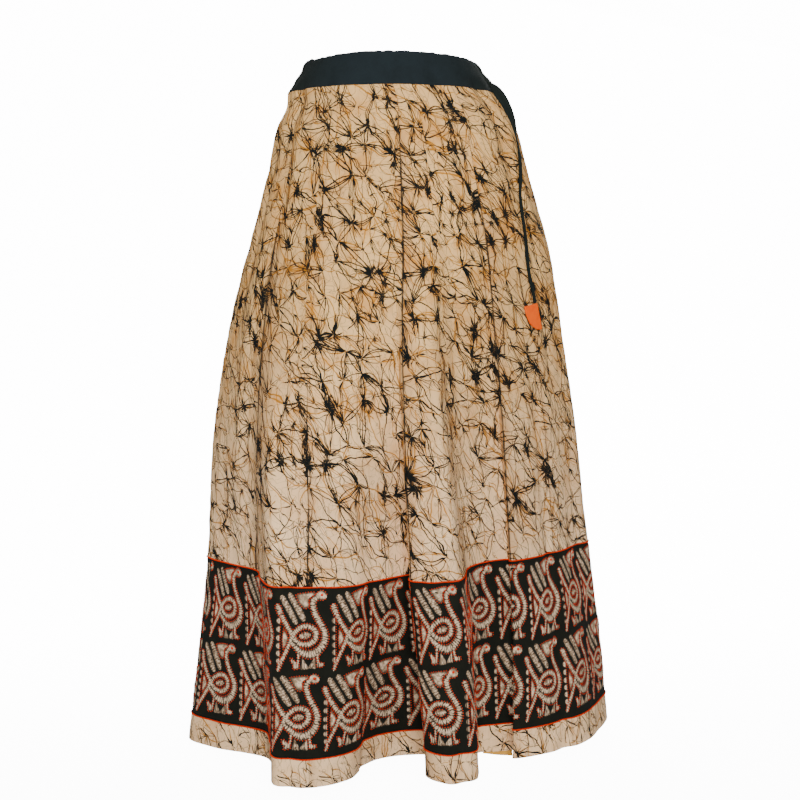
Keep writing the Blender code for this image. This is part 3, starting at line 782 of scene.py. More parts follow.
class Nodes:
    """A node tree, with ways to add nodes to it."""

    def __init__(self, tree):
        self.tree = tree

    def node(self, kind, settings, inputs, *outputs):
        """A new node, with its settings set first, and the outputs that are asked for."""
        made = self.tree.nodes.new(kind)
        for key, value in settings.items():
            setattr(made, key, value)
        for key, value in inputs.items():
            self.feed(made.inputs[key], value)
        if not made.outputs:
            return None
        found = [Amount(self, made.outputs[o]) for o in (outputs or (0,))]
        return found[0] if len(found) == 1 else found

    def feed(self, socket, value):
        if isinstance(value, Amount):
            self.tree.links.new(value.socket, socket)
        else:
            socket.default_value = value

    def vector(self, operation, first, second=(0, 0, 0)):
        return self.node("ShaderNodeVectorMath", {"operation": operation}, {0: first, 1: second})

    def math(self, operation, first, second=0.0):
        return self.node("ShaderNodeMath", {"operation": operation}, {0: first, 1: second})

    def highest(self, first, second):
        return self.math("MAXIMUM", first, second)

    def step(self, value, low, high):
        """Rises smoothly from 0 to 1 as the value goes from low to high."""
        inputs = {"Value": value, "From Min": low, "From Max": high}
        settings = {"interpolation_type": "SMOOTHSTEP", "clamp": False}
        return self.node("ShaderNodeMapRange", settings, inputs)

    def mix(self, factor, first, second):
        """The second colour over the first one, as much as the factor says."""
        inputs = {0: factor, 6: first, 7: second}
        return self.node("ShaderNodeMix", {"data_type": "RGBA"}, inputs, 2)

    def noise(self, at, scale, detail=2.0, roughness=0.5, output="Fac"):
        """Smooth random values. A scale for each axis makes them longer along one of them."""
        if isinstance(scale, tuple):
            at, scale = self.vector("MULTIPLY", at, scale), 1.0
        inputs = {"Vector": at, "Scale": scale, "Detail": detail, "Roughness": roughness}
        return self.node("ShaderNodeTexNoise", {}, inputs, output)

    def dice(self, at):
        """Three chances from 0 to 1, which a place always rolls alike."""
        settings = {"noise_dimensions": "2D"}
        rolled = self.node("ShaderNodeTexWhiteNoise", settings, {"Vector": at}, "Color")
        return self.channels(rolled)

    def channels(self, colour):
        return self.node("ShaderNodeSeparateColor", {}, {0: colour}, 0, 1, 2)

    def parts(self, vector):
        return self.node("ShaderNodeSeparateXYZ", {}, {0: vector}, 0, 1, 2)

    def pair(self, x, y):
        return self.node("ShaderNodeCombineXYZ", {}, {0: x, 1: y})

    def cloth(self):
        """The place on the flat cloth, in metres."""
        return self.node("ShaderNodeUVMap", {"uv_map": "cloth"}, {})

    def own_place(self):
        """The place in the skirt's own space, in metres."""
        return self.node("ShaderNodeTexCoord", {}, {}, "Object")

    def weave(self, at, pitch=0.0009):
        """Threads over and under, as a height from 0 to 1."""
        u, v, _ = self.parts(at)
        turns = 2 * math.pi / pitch
        return self.math("SINE", u * turns) * self.math("SINE", v * turns) * 0.5 + 0.5


class Finish(Nodes):
    """A material and the nodes that make its look."""

    def __init__(self, name):
        self.material = bpy.data.materials.new(name)
        self.material.use_nodes = True
        super().__init__(self.material.node_tree)
        self.shader = self.tree.nodes["Principled BSDF"]

    def dress(self, colour, roughness, height=None, depth=0.0, specular=0.25):
        """Feeds the shader. The height stands up by this depth, in metres."""
        self.feed(self.shader.inputs["Base Color"], colour)
        self.feed(self.shader.inputs["Roughness"], roughness)
        self.shader.inputs["Specular IOR Level"].default_value = specular
        if height is not None:
            inputs = {"Strength": 1.0, "Distance": depth, "Height": height}
            self.feed(self.shader.inputs["Normal"], self.node("ShaderNodeBump", {}, inputs))
        return self.material


def srgb(red, green, blue):
    """A colour from its 0 to 255 values, as the shader's own linear one."""
    channels = (c / 255 for c in (red, green, blue))
    return (*(c / 12.92 if c <= 0.04045 else ((c + 0.055) / 1.055) ** 2.4 for c in channels), 1.0)


# A web of cracks has a knot in each of its cells. These are the knots round a point's own cell,
# and the pairs of them that cracks join. The first ones are near enough to blot the point.
KNOT_CELLS = ((0, 0), (1, 0), (-1, 0), (0, 1), (0, -1), (1, 1), (-1, -1))
CRACK_ENDS = (
    ((-1, 0), (0, 0)), ((0, 0), (1, 0)), ((0, -1), (0, 0)), ((0, 0), (0, 1)),
    ((-1, -1), (0, 0)), ((0, 0), (1, 1)), ((-1, 0), (0, 1)), ((0, -1), (1, 0)),
)
BLOTTING_KNOTS = 5
CRACK_INPUTS = ("x here", "y here", "dice here", "x there", "y there", "dice there", "chance")
# Cracks that stop short beside their knots: their share, and how far they reach
STUB_SHARE = 0.28
STUB_REACH = 0.30
# A close web of fine cracks and a wide one of long cracks. The cell is in metres, and a crack is
# ochre, or a knot dark, where its chance is above these.
Web = namedtuple("Web", "cell fan width chance reach ochre_above knot_above knot_size shift")
WEBS = (
    Web((0.015, 0.019), 10.0, 0.48, 0.41, 10.0, 0.60, 0.44, 0.36, (3.7, 8.1, 0.0)),
    Web((0.027, 0.035), 12.0, 0.82, 0.33, 8.0, 0.76, 0.16, 0.50, (11.3, 2.9, 0.0)),
)


def crack_group(web):
    """The cracks that bow between two knots: how far dark dye, ochre dye and the soft ochre
    beside them cover a point, from 0 to 1. The knots' places are counted from the point."""
    tree = bpy.data.node_groups.new("cracks between two knots", "ShaderNodeTree")
    for way, names in (("INPUT", CRACK_INPUTS), ("OUTPUT", ("dark", "ochre", "glow"))):
        for name in names:
            tree.interface.new_socket(name, in_out=way, socket_type="NodeSocketFloat")
    nodes = Nodes(tree)
    begins = nodes.node("NodeGroupInput", {}, {}, *CRACK_INPUTS)
    x, y, dice_here, far_x, far_y, dice_there, chance = begins
    rx, ry = far_x - x, far_y - y
    square = rx * rx + ry * ry
    length = nodes.math("SQRT", square)
    along = (x * rx + y * ry) / square
    middle = along * (along + 1) * -4.0
    swell = nodes.highest(middle, 0.004) * length
    bow = (x * ry - y * rx) / (length * swell) * web.fan
    number = nodes.math("ROUND", bow)
    one, two, three = nodes.dice(nodes.pair(dice_here + dice_there, number))
    away = abs(bow - number - (one * 0.6 - 0.3)) * swell
    reach = nodes.highest((two - chance) * web.reach, STUB_REACH)
    thin = web.width * web.fan * 0.001 / web.cell[0]
    width = (two * 0.8 + 0.45) * (middle * -0.9 + 1.5) * thin
    share = away / (width * nodes.step(middle, reach, reach * 0.60) + 0.00001)
    kept = (two > chance - STUB_SHARE) * (middle > 0.0)
    kept = kept * nodes.step(abs(bow), web.fan * 0.23, web.fan * 0.15)
    kept = kept * (reach > middle)
    is_ochre = three > web.ochre_above
    cover = nodes.step(share, 1.15, 0.75) * kept
    glow = nodes.step(share, 4.5, 0.6) * kept * three
    covers = (cover * (1 - is_ochre), cover * is_ochre, glow)
    nodes.node("NodeGroupOutput", {}, dict(enumerate(covers)))
    return tree


def crack_web(finish, at, web, calm):
    """Cracks that fan out from knots of the wax and bow between neighbouring ones. Gives how far
    dark dye, ochre dye and the soft ochre beside the cracks cover a point, from 0 to 1. Where
    the cloth is calm there are fewer of them, and smaller knots."""
    at = finish.vector("MULTIPLY", at, (1 / web.cell[0], 1 / web.cell[1], 0.0))
    at = finish.vector("ADD", at, web.shift)
    cell = finish.vector("FLOOR", at)
    local_x, local_y, _ = finish.parts(finish.vector("SUBTRACT", at, cell))
    knots = {}
    for i, j in KNOT_CELLS:
        one, two, dice = finish.dice(finish.vector("ADD", cell, (i, j, 0.0)))
        knots[i, j] = one * 0.8 + (i + 0.1) - local_x, two * 0.8 + (j + 0.1) - local_y, dice
    chance = calm * 0.28 + web.chance
    group = {"node_tree": crack_group(web)}
    found = [0.0, 0.0, 0.0]
    for first, second in CRACK_ENDS:
        inputs = dict(zip(CRACK_INPUTS, (*knots[first], *knots[second], chance)))
        covers = finish.node("ShaderNodeGroup", group, inputs, "dark", "ochre", "glow")
        found = [finish.highest(new, old) for new, old in zip(covers, found)]
    dark, ochre, glow = found
    ragged = finish.noise(at, 9.0, 4.0, 0.85) * 0.64 - 0.32
    hatched = finish.step(finish.noise(at, 22.0, 2.0, 0.7), 0.28, 0.46)
    beside = finish.highest(dark, glow) * 0.95 + 0.50
    above = calm * 0.55 + web.knot_above
    for knot in KNOT_CELLS[:BLOTTING_KNOTS]:
        x, y, dice = knots[knot]
        big = finish.highest(dice - above, 0.0) / (1 - web.knot_above)
        slim_x, slim_y = x * 1.25, y * 0.8
        radius = finish.math("SQRT", slim_x * slim_x + slim_y * slim_y) + ragged
        edge = big * beside * web.knot_size + 0.012
        shown = big > 0.02
        dark = finish.highest(finish.step(radius, edge, edge * 0.82) * hatched * shown, dark)
        halo = finish.step(radius, edge * 2.2 + 0.05, edge) * shown * 0.6
        glow = finish.highest(halo, glow)
    return dark, ochre, glow


def crackle_material(settings):
    """Tan cloth with dark and ochre crackle, denser and warmer near the waist, with painted shade
    and painted dark lines of shade along its folds.
    """
    finish = Finish("crackle batik")
    cloth = finish.cloth()
    _, drop, _ = finish.parts(cloth)
    low = finish.step(drop, 0.22, 0.62)
    bent = cloth
    for scale, size in ((22.0, 0.018), (110.0, 0.0030)):
        one, two, _ = finish.channels(finish.noise(cloth, scale, output="Color"))
        bent = finish.vector("ADD", bent, finish.pair((one - 0.5) * size, (two - 0.5) * size))

    tone = finish.noise(cloth, 9.0, 3.0, 0.6)
    streaks = finish.noise(cloth, (260.0, 26.0, 1.0))
    colour = finish.mix(low, settings.cloth_high, settings.cloth_low)
    colour = finish.mix(finish.step(tone, 0.35, 0.75) * 0.30, colour, settings.cloth_grey_and_fold_shade)
    colour = finish.mix(finish.step(streaks, 0.45, 0.8) * 0.25, colour, settings.cloth_grey_and_fold_shade)

    warm = finish.step(finish.noise(cloth, 24.0, 3.0, 0.6), 0.42, 0.70)
    stain = warm * (0.74 - low * 0.42)
    colour = finish.mix(stain * 0.7, colour, settings.ochre)

    hairlines = []
    for scale, detail, level, widest in (
        ((75.0, 45.0, 75.0), 1.0, 0.50, 0.012),
        ((43.2, 57.6, 48.0), 1.5, 0.46, 0.010),
    ):
        from_line = abs(finish.noise(bent, scale, detail) - level)
        hairlines.append(1 - finish.step(from_line, 0.002, widest))
    hairs = finish.highest(*hairlines) * (0.58 - low * 0.16)
    colour = finish.mix(hairs, colour, settings.hair_line)

    beyond = finish.node("ShaderNodeAttribute", {"attribute_name": "fold_distance"}, {}, "Fac")
    fold = abs(beyond)
    # Painted shade beside each fold line, deepest in a band of painted shadow on the line's right
    shade_near_fold = finish.step(fold, 0.016, 0.002)
    shadow_right_of_fold = finish.step(fold, 0.024, 0.003) * (beyond > 0.0)
    colour = finish.mix(shade_near_fold * 0.16 + shadow_right_of_fold * 0.30, colour, settings.cloth_grey_and_fold_shade)
    zone = finish.step(finish.noise(cloth, (15.0, 10.5, 15.0)), 0.42, 0.60)
    hem = finish.step(drop, 0.815, 0.830)
    calm = low * 0.42 + hem * 0.40 + 0.78 - zone * 0.9 - shade_near_fold * 0.45
    calm = finish.highest(calm, 0.0)
    darks = []
    for web in WEBS:
        dark, ochre, glow = crack_web(finish, bent, web, calm)
        colour = finish.mix(glow * warm * (0.92 - low * 0.35), colour, settings.ochre)
        colour = finish.mix(ochre * 0.85, colour, settings.ochre_line)
        darks.append(dark)
    colour = finish.mix(finish.highest(*darks), colour, settings.crack_dye_and_fold_shade)

    # A painted dark line of shade along each fold line, broken in places and faint from the border
    # down
    broken = finish.noise(cloth, (90.0, 30.0, 1.0), 3.0, 0.7)
    edge = 1 - finish.step(fold, 0.0005, 0.0009 + broken * 0.0022)
    edge = edge * (0.70 + finish.step(broken, 0.40, 0.60) * 0.26)
    edge = edge * (1 - finish.step(drop, 0.60, 0.66) * 0.7)
    colour = finish.mix(edge, colour, settings.crack_dye_and_fold_shade)

    height = finish.weave(cloth) * 0.10 + finish.noise(cloth, (70.0, 24.0, 1.0), 4.0, 0.6)
    return finish.dress(colour, 0.84 + tone * 0.12, height, 0.0011, specular=0.15)


def border_material(settings):
    """Near-black olive ground of the border."""
    finish = Finish("border ground")
    cloth = finish.cloth()
    tone = finish.noise(cloth, 60.0, 3.0, 0.6)
    colour = finish.mix(finish.step(tone, 0.35, 0.75), settings.ground, srgb(19, 20, 10))
    height = finish.weave(cloth) * 0.10 + finish.noise(cloth, (70.0, 24.0, 1.0), 4.0, 0.6)
    return finish.dress(colour, 0.82 + tone * 0.1, height, 0.0010, specular=0.2)


# How strongly each kind of figure is mottled, darkened at its edges and hatched across
FigureDye = namedtuple("FigureDye", "kind mottled edged hatched")
FIGURE_DYES = (
    FigureDye("ribbed", 0.62, 0.90, 0.92),
    FigureDye("feather", 0.92, 0.56, 0.70),
    FigureDye("plain", 0.80, 0.90, 0.0),
)


def figure_material(settings, dye):
    """Wax-resist figure cloth: pale in its middle, hatched across with dark cracks if it is
    ribbed, mottled if it is a feather. Its UVs run along the ribbon in metres and across it
    from 0 to 1."""
    finish = Finish(f"{dye.kind} figure dye")
    cloth = finish.cloth()
    along, across, _ = finish.parts(cloth)
    rim = abs(across - 0.5) * 2
    if dye.hatched:
        blotch = finish.noise(cloth, (300.0, 2.4, 1.0), 3.0, 0.7)
    else:
        blotch = finish.noise(finish.own_place(), 170.0, 3.0, 0.75)
    blotch = finish.step(blotch, 0.34, 0.62)
    colour = finish.mix(blotch * dye.mottled, settings.figure_pale, settings.figure_shade)
    colour = finish.mix(finish.step(rim, 0.34, 0.90) * dye.edged, colour, settings.figure_edge)
    if dye.hatched:
        jitter = finish.noise(cloth, (260.0, 1.4, 1.0))
        beat = finish.math("FRACT", along * 300.0 + jitter * 2.0 + across * 0.25)
        hatch = 1 - finish.step(abs(beat - 0.5), 0.06 + rim * 0.16, 0.15 + rim * 0.26)
        hatch = hatch * finish.step(finish.noise(cloth, (180.0, 2.0, 1.0)), 0.24, 0.46)
        colour = finish.mix(hatch * dye.hatched, colour, srgb(24, 16, 10))
    return finish.dress(colour, 0.85, specular=0.2)


def thread_material(settings):
    """Red cotton thread."""
    finish = Finish("red thread")
    tone = finish.noise(finish.own_place(), 900.0)
    colour = finish.mix(finish.step(tone, 0.35, 0.7), settings.thread, srgb(190, 36, 0))
    return finish.dress(colour, 0.75 + tone * 0.2, specular=0.08)


def band_material(settings):
    """Dark plain-weave cloth of the waistband and tie, bluer in the middle of the front."""
    finish = Finish("dark band cloth")
    cloth = finish.cloth()
    across, drop, _ = finish.parts(cloth)
    tone = finish.noise(cloth, 30.0, 4.0, 0.6)
    side = finish.step(abs(across), 0.05, 0.19)
    colour = finish.mix(side, settings.band_middle, settings.band_side)
    colour = finish.mix(finish.step(tone, 0.4, 0.8) * 0.45, colour, srgb(18, 22, 22))
    top_edge = finish.step(drop, -0.0424, -0.0434) * finish.step(drop, 0.02, 0.0)
    colour = finish.mix(top_edge * 0.8, colour, srgb(8, 10, 10))
    height = finish.weave(cloth, 0.0008) * 0.12 + finish.noise(cloth, (90.0, 60.0, 1.0), 4.0, 0.6)
    return finish.dress(colour, 0.84 + tone * 0.12, height, 0.0009, specular=0.12)


def plain_material(name, main, shade, scale):
    """One dyed cloth with a soft change of tone and a weave."""
    finish = Finish(name)
    cloth = finish.cloth()
    tone = finish.noise(cloth, scale, 3.0, 0.6)
    colour = finish.mix(finish.step(tone, 0.35, 0.75), main, shade)
    height = finish.weave(cloth) * 0.2 + tone
    return finish.dress(colour, 0.80 + tone * 0.15, height, 0.0006, specular=0.08)


# ---- Sizes and colours that a user would change ----


def colour_property(name, description, red, green, blue):
    return bpy.props.FloatVectorProperty(
        name=name, description=description, default=srgb(red, green, blue), size=4,
        subtype="COLOR", min=0.0, max=1.0,
    )


def length_property(name, description, default):
    return bpy.props.FloatProperty(
        name=name, description=description, default=default, min=0.0, unit="LENGTH", precision=5,
    )


class SkirtSizes(bpy.types.PropertyGroup):
    """Sizes of the skirt's cloth and sewing."""

    cloth_thick: length_property("Cloth", "Thickness of the skirt's cloth", 0.0010)
    band_thick: length_property("Band", "Thickness of the waistband", 0.0022)
    row_height: length_property("Row", "Height of a row of the mesh", 0.0060)
    stitch_long: length_property("Stitch length", "Length of a running stitch", 0.0016)
    stitch_wide: length_property("Stitch width", "Width of a running stitch", 0.0016)
    stitch_high: length_property("Stitch height", "How far a stitch stands up", 0.0007)
    cord_pitch: length_property("Edging pitch", "Distance between stitches of the edging", 0.0017)


class SkirtColours(bpy.types.PropertyGroup):
    """Colours of the skirt's cloth, dye and thread."""

    cloth_high: colour_property("Cloth, high", "Cloth near the waist", 235, 188, 122)
    cloth_low: colour_property("Cloth, low", "Cloth near the border", 250, 210, 162)
    # Greyer streaks of the cloth, and also the painted shade beside its folds
    cloth_grey_and_fold_shade: colour_property("Cloth shade", "Greyer streaks of the cloth", 178, 134, 92)
    ochre: colour_property("Ochre stain", "Soft stains of ochre dye", 196, 126, 44)
    ochre_line: colour_property("Ochre crack", "Cracks that took ochre dye", 160, 100, 12)
    hair_line: colour_property("Hair crack", "The finest cracks", 122, 88, 58)
    # Cracks that took dark dye, and also the painted dark lines of shade along the folds
    crack_dye_and_fold_shade: colour_property("Dark crack", "Cracks that took dark dye", 8, 13, 12)
    ground: colour_property("Border", "The border's ground", 11, 13, 5)
    figure_pale: colour_property("Figures", "Pale middle of the figures", 230, 200, 166)
    figure_shade: colour_property("Figure shade", "Mottling of the figures", 92, 70, 46)
    figure_edge: colour_property("Figure edge", "Edges of the figures", 44, 26, 16)
    thread: colour_property("Thread", "Stitches and edging", 222, 56, 6)
    band_middle: colour_property("Band, middle", "Waistband at the front", 27, 35, 38)
    band_side: colour_property("Band, side", "Waistband at the sides", 25, 31, 27)


# ---- The panels, the hem and the border's ground ----


def levels_between(top, bottom, height):
    """Evenly spaced levels, with the ends held back for the seams."""
    count = max(2, round((bottom - top) / height))
    drops = np.linspace(top, bottom, count + 1)
    drops[0] += SEAM_GAP / 2
    drops[-1] -= SEAM_GAP / 2
    return drops


def ride_and_replace(obj, slot_name, *nodes):
    """Sets what a piece moves with and stands for; its slot name is not used."""
    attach(obj, "root")
    if nodes:
        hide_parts(*nodes)


class SKIRT_OT_panels(bpy.types.Operator):
    """Make the front and back panels of crackle batik cloth"""

    bl_idname = "skirt.panels"
    bl_label = "Skirt panels"

    def execute(self, context):
        sizes, colours = context.scene.skirt_sizes, context.scene.skirt_colours
        material = crackle_material(colours)
        drops = levels_between(0.0, BORDER_DROP, sizes.row_height)
        for half, flat, area in (("front", (1.02, 0.64), 0.41), ("back", (1.20, 0.64), 0.52)):
            cloth = Cloth(drops, half == "front", sizes.cloth_thick)
            obj = cloth_object(f"skirt_panel_{half}", cloth, material)
            ride_and_replace(obj, "crackle_cloth", f"skirt_{half}")
        return {"FINISHED"}


class SKIRT_OT_hem(bpy.types.Operator):
    """Make the strips of crackle cloth below the border"""

    bl_idname = "skirt.hem"
    bl_label = "Hem strips"

    def execute(self, context):
        sizes = context.scene.skirt_sizes
        material = bpy.data.materials["crackle batik"]
        drops = levels_between(HEM_STRIP_DROP, HEM_DROP, sizes.row_height / 2)
        for half, flat in (("front", (1.08, 0.036)), ("back", (1.44, 0.036))):
            cloth = Cloth(drops, half == "front", sizes.cloth_thick * 2)
            obj = cloth_object(f"hem_strip_{half}", cloth, material)
            ride_and_replace(obj, "crackle_cloth", f"hem_{half}")
        return {"FINISHED"}


class SKIRT_OT_facing(bpy.types.Operator):
    """Make the tan inner facing that shows below the recess"""

    bl_idname = "skirt.facing"
    bl_label = "Hem facing"

    def execute(self, context):
        sizes = context.scene.skirt_sizes
        material = plain_material("tan facing cloth", srgb(216, 160, 74), srgb(196, 138, 56), 60.0)
        first, last = np.searchsorted(LINE_AT, (FACING_FROM_LINE, FACING_TO_LINE))
        curve = ring_at(HEM_DROP - SEAM_GAP)[first : last + 1]
        normal, _ = normals_of(curve, closed_ring=False)
        share = np.linspace(0, 1, len(curve))
        below = FACING_LEFT + (FACING_RIGHT - FACING_LEFT) * share
        middle = curve - normal * (FACING_BEHIND + sizes.cloth_thick)
        outer, inner, flats = [], [], []
        for down, thick in FACING_SECTION:
            z = SEAM_Z - HEM_DROP - below * down
            for rows, reach in ((outer, thick), (inner, -thick)):
                rows.append(np.column_stack([middle + normal * reach * sizes.cloth_thick, z]))
            flats.append(np.column_stack([share * 0.1, np.full(len(share), down * 0.01)]))
        grids = [np.array(outer), np.array(inner)]
        obj = shell("hem_facing_cloth", grids, [np.array(flats)] * 2, [material])
        ride_and_replace(obj, "facing_cloth", "hem_facing")
        return {"FINISHED"}


# The drop at which the border's figures are drawn true to size, and the border's two halves,
# which the figures and the sewing are laid on
BORDER_LEVEL = (BORDER_DROP + HEM_STRIP_DROP) / 2
BORDER_CLOTHS = {}


class SKIRT_OT_border(bpy.types.Operator):
    """Make the dark ground of the border"""

    bl_idname = "skirt.border"
    bl_label = "Border ground"

    def execute(self, context):
        sizes, colours = context.scene.skirt_sizes, context.scene.skirt_colours
        material = border_material(colours)
        drops = levels_between(BORDER_DROP, HEM_STRIP_DROP, sizes.row_height * 0.8)
        for half, flat in (("front", (0.98, 0.218)), ("back", (1.42, 0.218))):
            cloth = Cloth(drops, half == "front", sizes.cloth_thick, BORDER_LEVEL)
            obj = cloth_object(f"border_ground_{half}", cloth, material)
            ride_and_replace(obj, "border_cloth", f"border_{half}")
            BORDER_CLOTHS[half] = cloth
        return {"FINISHED"}


# ---- The border's figures and sewing ----


def curve_points(points, step):
    """Points at even steps on a smooth curve through rows of numbers, x and y first."""
    return stepped(spline(points, 12), step, 1)


def units(vectors):
    """Vectors of one length, in the same directions."""
    return vectors / np.maximum(np.linalg.norm(vectors, axis=1), 1e-9)[:, None]


def ribbon_stations(ribbon):
    """A ribbon's middle line with round ends: x, y, half width and direction at each station."""
    rows = curve_points(ribbon.points, FIGURE_STEP)
    direction = units(np.gradient(rows[:, :2], axis=0))
    stations = np.column_stack([rows[:, :2], rows[:, 2] / 2, direction])
    turns = np.radians(ROUND_END_DEGREES)
    caps = []
    for sign, (x, y, half, dx, dy) in ((-1, stations[0]), (1, stations[-1])):
        out = sign * half * np.sin(turns)
        columns = (x + dx * out, y + dy * out, half * np.cos(turns), dx, dy)
        caps.append(np.column_stack(np.broadcast_arrays(*columns)))
    return np.vstack([caps[0][::-1], stations, caps[1]])


def figure_outline(points):
    """A closed outline at even steps, a little rounded at its corners."""
    line = stepped(closed(np.array(points, dtype=float)), FIGURE_STEP, 8, ring=True)
    return (np.roll(line, 1, axis=0) + 2 * line + np.roll(line, -1, axis=0)) / 4


def scallop(y):
    """A half disc whose flat side is on its right."""
    turns = np.radians(np.linspace(90, 270, 7))
    return tuple(
        (SCALLOP_SIDE + SCALLOP_RADIUS * math.cos(a),
         y + SCALLOP_RADIUS * SCALLOP_SQUASH * math.sin(a))
        for a in turns
    )


def tile_figures():
    """One tile's figures in millimetres: points, UVs, faces, tones and heights over the cloth."""
    rows, faces, tones = [], [], []
    for number, ribbon in enumerate(RIBBONS):
        stations = ribbon_stations(ribbon)
        new = grid_faces(len(stations), len(RIBBON_SECTION), len(rows), flip=True)
        for (x, y, half, dx, dy), s in zip(stations, run_of(stations[:, :2])):
            for across, up in RIBBON_SECTION:
                at = (x - dy * half * across, y + dx * half * across)
                lift = RIBBON_LIFT + NEXT_RIBBON_LIFT * number + up
                rows.append((*at, (s + number * 31) / 1000, 0.5 + across / 2, lift))
        faces += new
        tones += [ribbon.tone] * len(new)
    for patch in (*PATCHES, *(Patch("scallop", 0, False, scallop(y)) for y in SCALLOP_YS)):
        line = figure_outline(patch.corners)
        centre = line.mean(axis=0)
        begun, count = len(rows), len(line)
        for share, across, lift in PATCH_RINGS:
            for x, y in centre + (line - centre) * share:
                rows.append((x, y, x / 1000 + across * 0.004, across, lift))
        rows.append((*centre, centre[0] / 1000, *PATCH_MIDDLE))
        new = grid_faces(2, count, begun, wrap=True)
        inner, hub = begun + count, begun + 2 * count
        new += [(inner + c, hub, inner + (c + 1) % count) for c in range(count)]
        faces += new
        tones += [patch.tone] * len(new)
    rows = np.array(rows)
    return rows[:, :2], rows[:, 2:4], faces, tones, rows[:, 4]


def clear_of(stitches, shapes, own=None):
    """The stitches that don't lie on a stitched ribbon, from the middle lines and half widths
    of them all. A ribbon's own stitches lie on its edge."""
    at = stitches[:, :2]
    keep = np.ones(len(at), dtype=bool)
    for ribbon, stations in shapes:
        best, reach = np.full(len(at), 1e9), np.zeros(len(at))
        for (*a, half, _, _), (*b, _, _, _) in zip(stations, stations[1:]):
            way = np.array(b) - a
            along = np.clip(((at - a) @ way) / max(way @ way, 1e-9), 0, 1)
            away = np.linalg.norm(at - a - along[:, None] * way, axis=1)
            reach = np.where(away < best, half, reach)
            best = np.minimum(best, away)
        keep &= best > (reach * OWN_EDGE_SHARE if ribbon is own else reach - OTHER_EDGE_OVER)
    return stitches[keep]


def tile_stitches():
    """One tile's running stitches in millimetres: x, y and direction of each. Stitches that
    would lie on another stitched ribbon are left out."""

    def stitches_round(outline):
        rows = stepped(closed(outline), STITCH_PITCH, 3, ring=True)
        return np.column_stack([rows, units(np.roll(rows, -1, axis=0) - np.roll(rows, 1, axis=0))])

    shapes = [(r, ribbon_stations(r)) for r in RIBBONS if r.stitched]
    found = []
    for ribbon, stations in shapes:
        x, y, half, dx, dy = stations.T
        left = np.column_stack([x - dy * half, y + dx * half])
        right = np.column_stack([x + dy * half, y - dx * half])
        found.append(clear_of(stitches_round(np.vstack([left, right[::-1]])), shapes, ribbon))
    for patch in PATCHES:
        if patch.stitched:
            found.append(clear_of(stitches_round(figure_outline(patch.corners)), shapes))
    dots = curve_points(DOTTED_LINE, STITCH_PITCH)
    return np.vstack(found + [np.column_stack([dots, units(np.gradient(dots, axis=0))])])


def tile_places(cloth):
    """The corners of the tiles that reach this piece, in metres on the flat cloth."""
    left, right = cloth.sides()
    width = TILE_WIDTH / 1000
    places = []
    for row in (0, 1):
        shift = row * LOWER_ROW_SHIFT / 1000
        first = math.floor((left - shift) / width) - 1
        last = math.ceil((right - shift) / width) + 1
        v = BORDER_DROP + (FIRST_ROW + row * ROW_PITCH) / 1000
        places += [(k * width + shift, v) for k in range(first, last + 1)]
    return places


def hand_drawn(u, v):
    """Places on the flat cloth, moved by the small unevenness of drawing by hand."""
    moves = np.array([[wave(a * 22, b * 22, c) for c in (1.7, 9.2)] for a, b in zip(u, v)])
    return u + moves[:, 0] * UNEVEN, v + moves[:, 1] * UNEVEN


class SKIRT_OT_figures(bpy.types.Operator):
    """Make the pale batik figures of the border"""

    bl_idname = "skirt.figures"
    bl_label = "Border figures"

    def execute(self, context):
        colours = context.scene.skirt_colours
        materials = [figure_material(colours, dye) for dye in FIGURE_DYES]
        points, flats, faces, tones, lifts = tile_figures()
        faces = [np.array(face) for face in faces]
        for half, cloth in BORDER_CLOTHS.items():
            left, right = cloth.sides(FIGURES_INSET)
            all_points, all_flats, all_faces, all_tones = [], [], [], []
            for number, (u0, v0) in enumerate(tile_places(cloth)):
                u, v = hand_drawn(u0 + points[:, 0] / 1000, v0 + points[:, 1] / 1000)
                inside = (u > left) & (u < right)
                kept = [k for k, face in enumerate(faces) if inside[face].any()]
                if not kept:
                    continue
                begun = len(points) * len(all_points)
                all_faces += [tuple((faces[k] + begun).tolist()) for k in kept]
                all_tones += [tones[k] for k in kept]
                all_points.append(cloth.at(np.clip(u, left, right), v, lifts[:, None] / 1000))
                all_flats.append(flats + [number * 0.37, 0.0])
            obj = make_mesh(f"border_figures_{half}", np.vstack(all_points), all_faces, materials,
                            np.vstack(all_flats), all_tones, sharp=False)
            ride_and_replace(obj, "border_cloth")
        return {"FINISHED"}


# A stitch as a closed body with pointed ends: along, across and up, in shares of its size
STITCH_POINTS = np.array([
    (-0.5, 0, 0), (-0.24, 0.5, 0), (-0.24, -0.5, 0), (-0.24, 0, 1),
    (0.24, 0.5, 0), (0.24, -0.5, 0), (0.24, 0, 1), (0.5, 0, 0),
])
STITCH_FACES = (
    (0, 1, 3), (0, 3, 2), (0, 2, 1), (1, 4, 6, 3), (3, 6, 5, 2), (2, 5, 4, 1),
    (7, 6, 4), (7, 5, 6), (7, 4, 5),
)


def square_ways(along, out):
    """Directions along, across and out of a line, each square to the others."""
    along = units(along)
    out = units(out - along * (out * along).sum(1)[:, None])
    return along, np.cross(out, along), out


def stitch_mesh(name, middles, along, out, size, material):
    """Many stitches as one mesh, from each one's middle, direction and outward side."""
    along, across, out = square_ways(along, out)
    shape = STITCH_POINTS * size
    ways = np.stack([along, across, out], axis=1)
    points = (middles[:, None, :] + shape @ ways).reshape(-1, 3)
    faces = [
        tuple(begun + i for i in face)
        for begun in range(0, len(points), len(shape)) for face in STITCH_FACES
    ]
    return make_mesh(name, points, faces, [material], sharp=False)


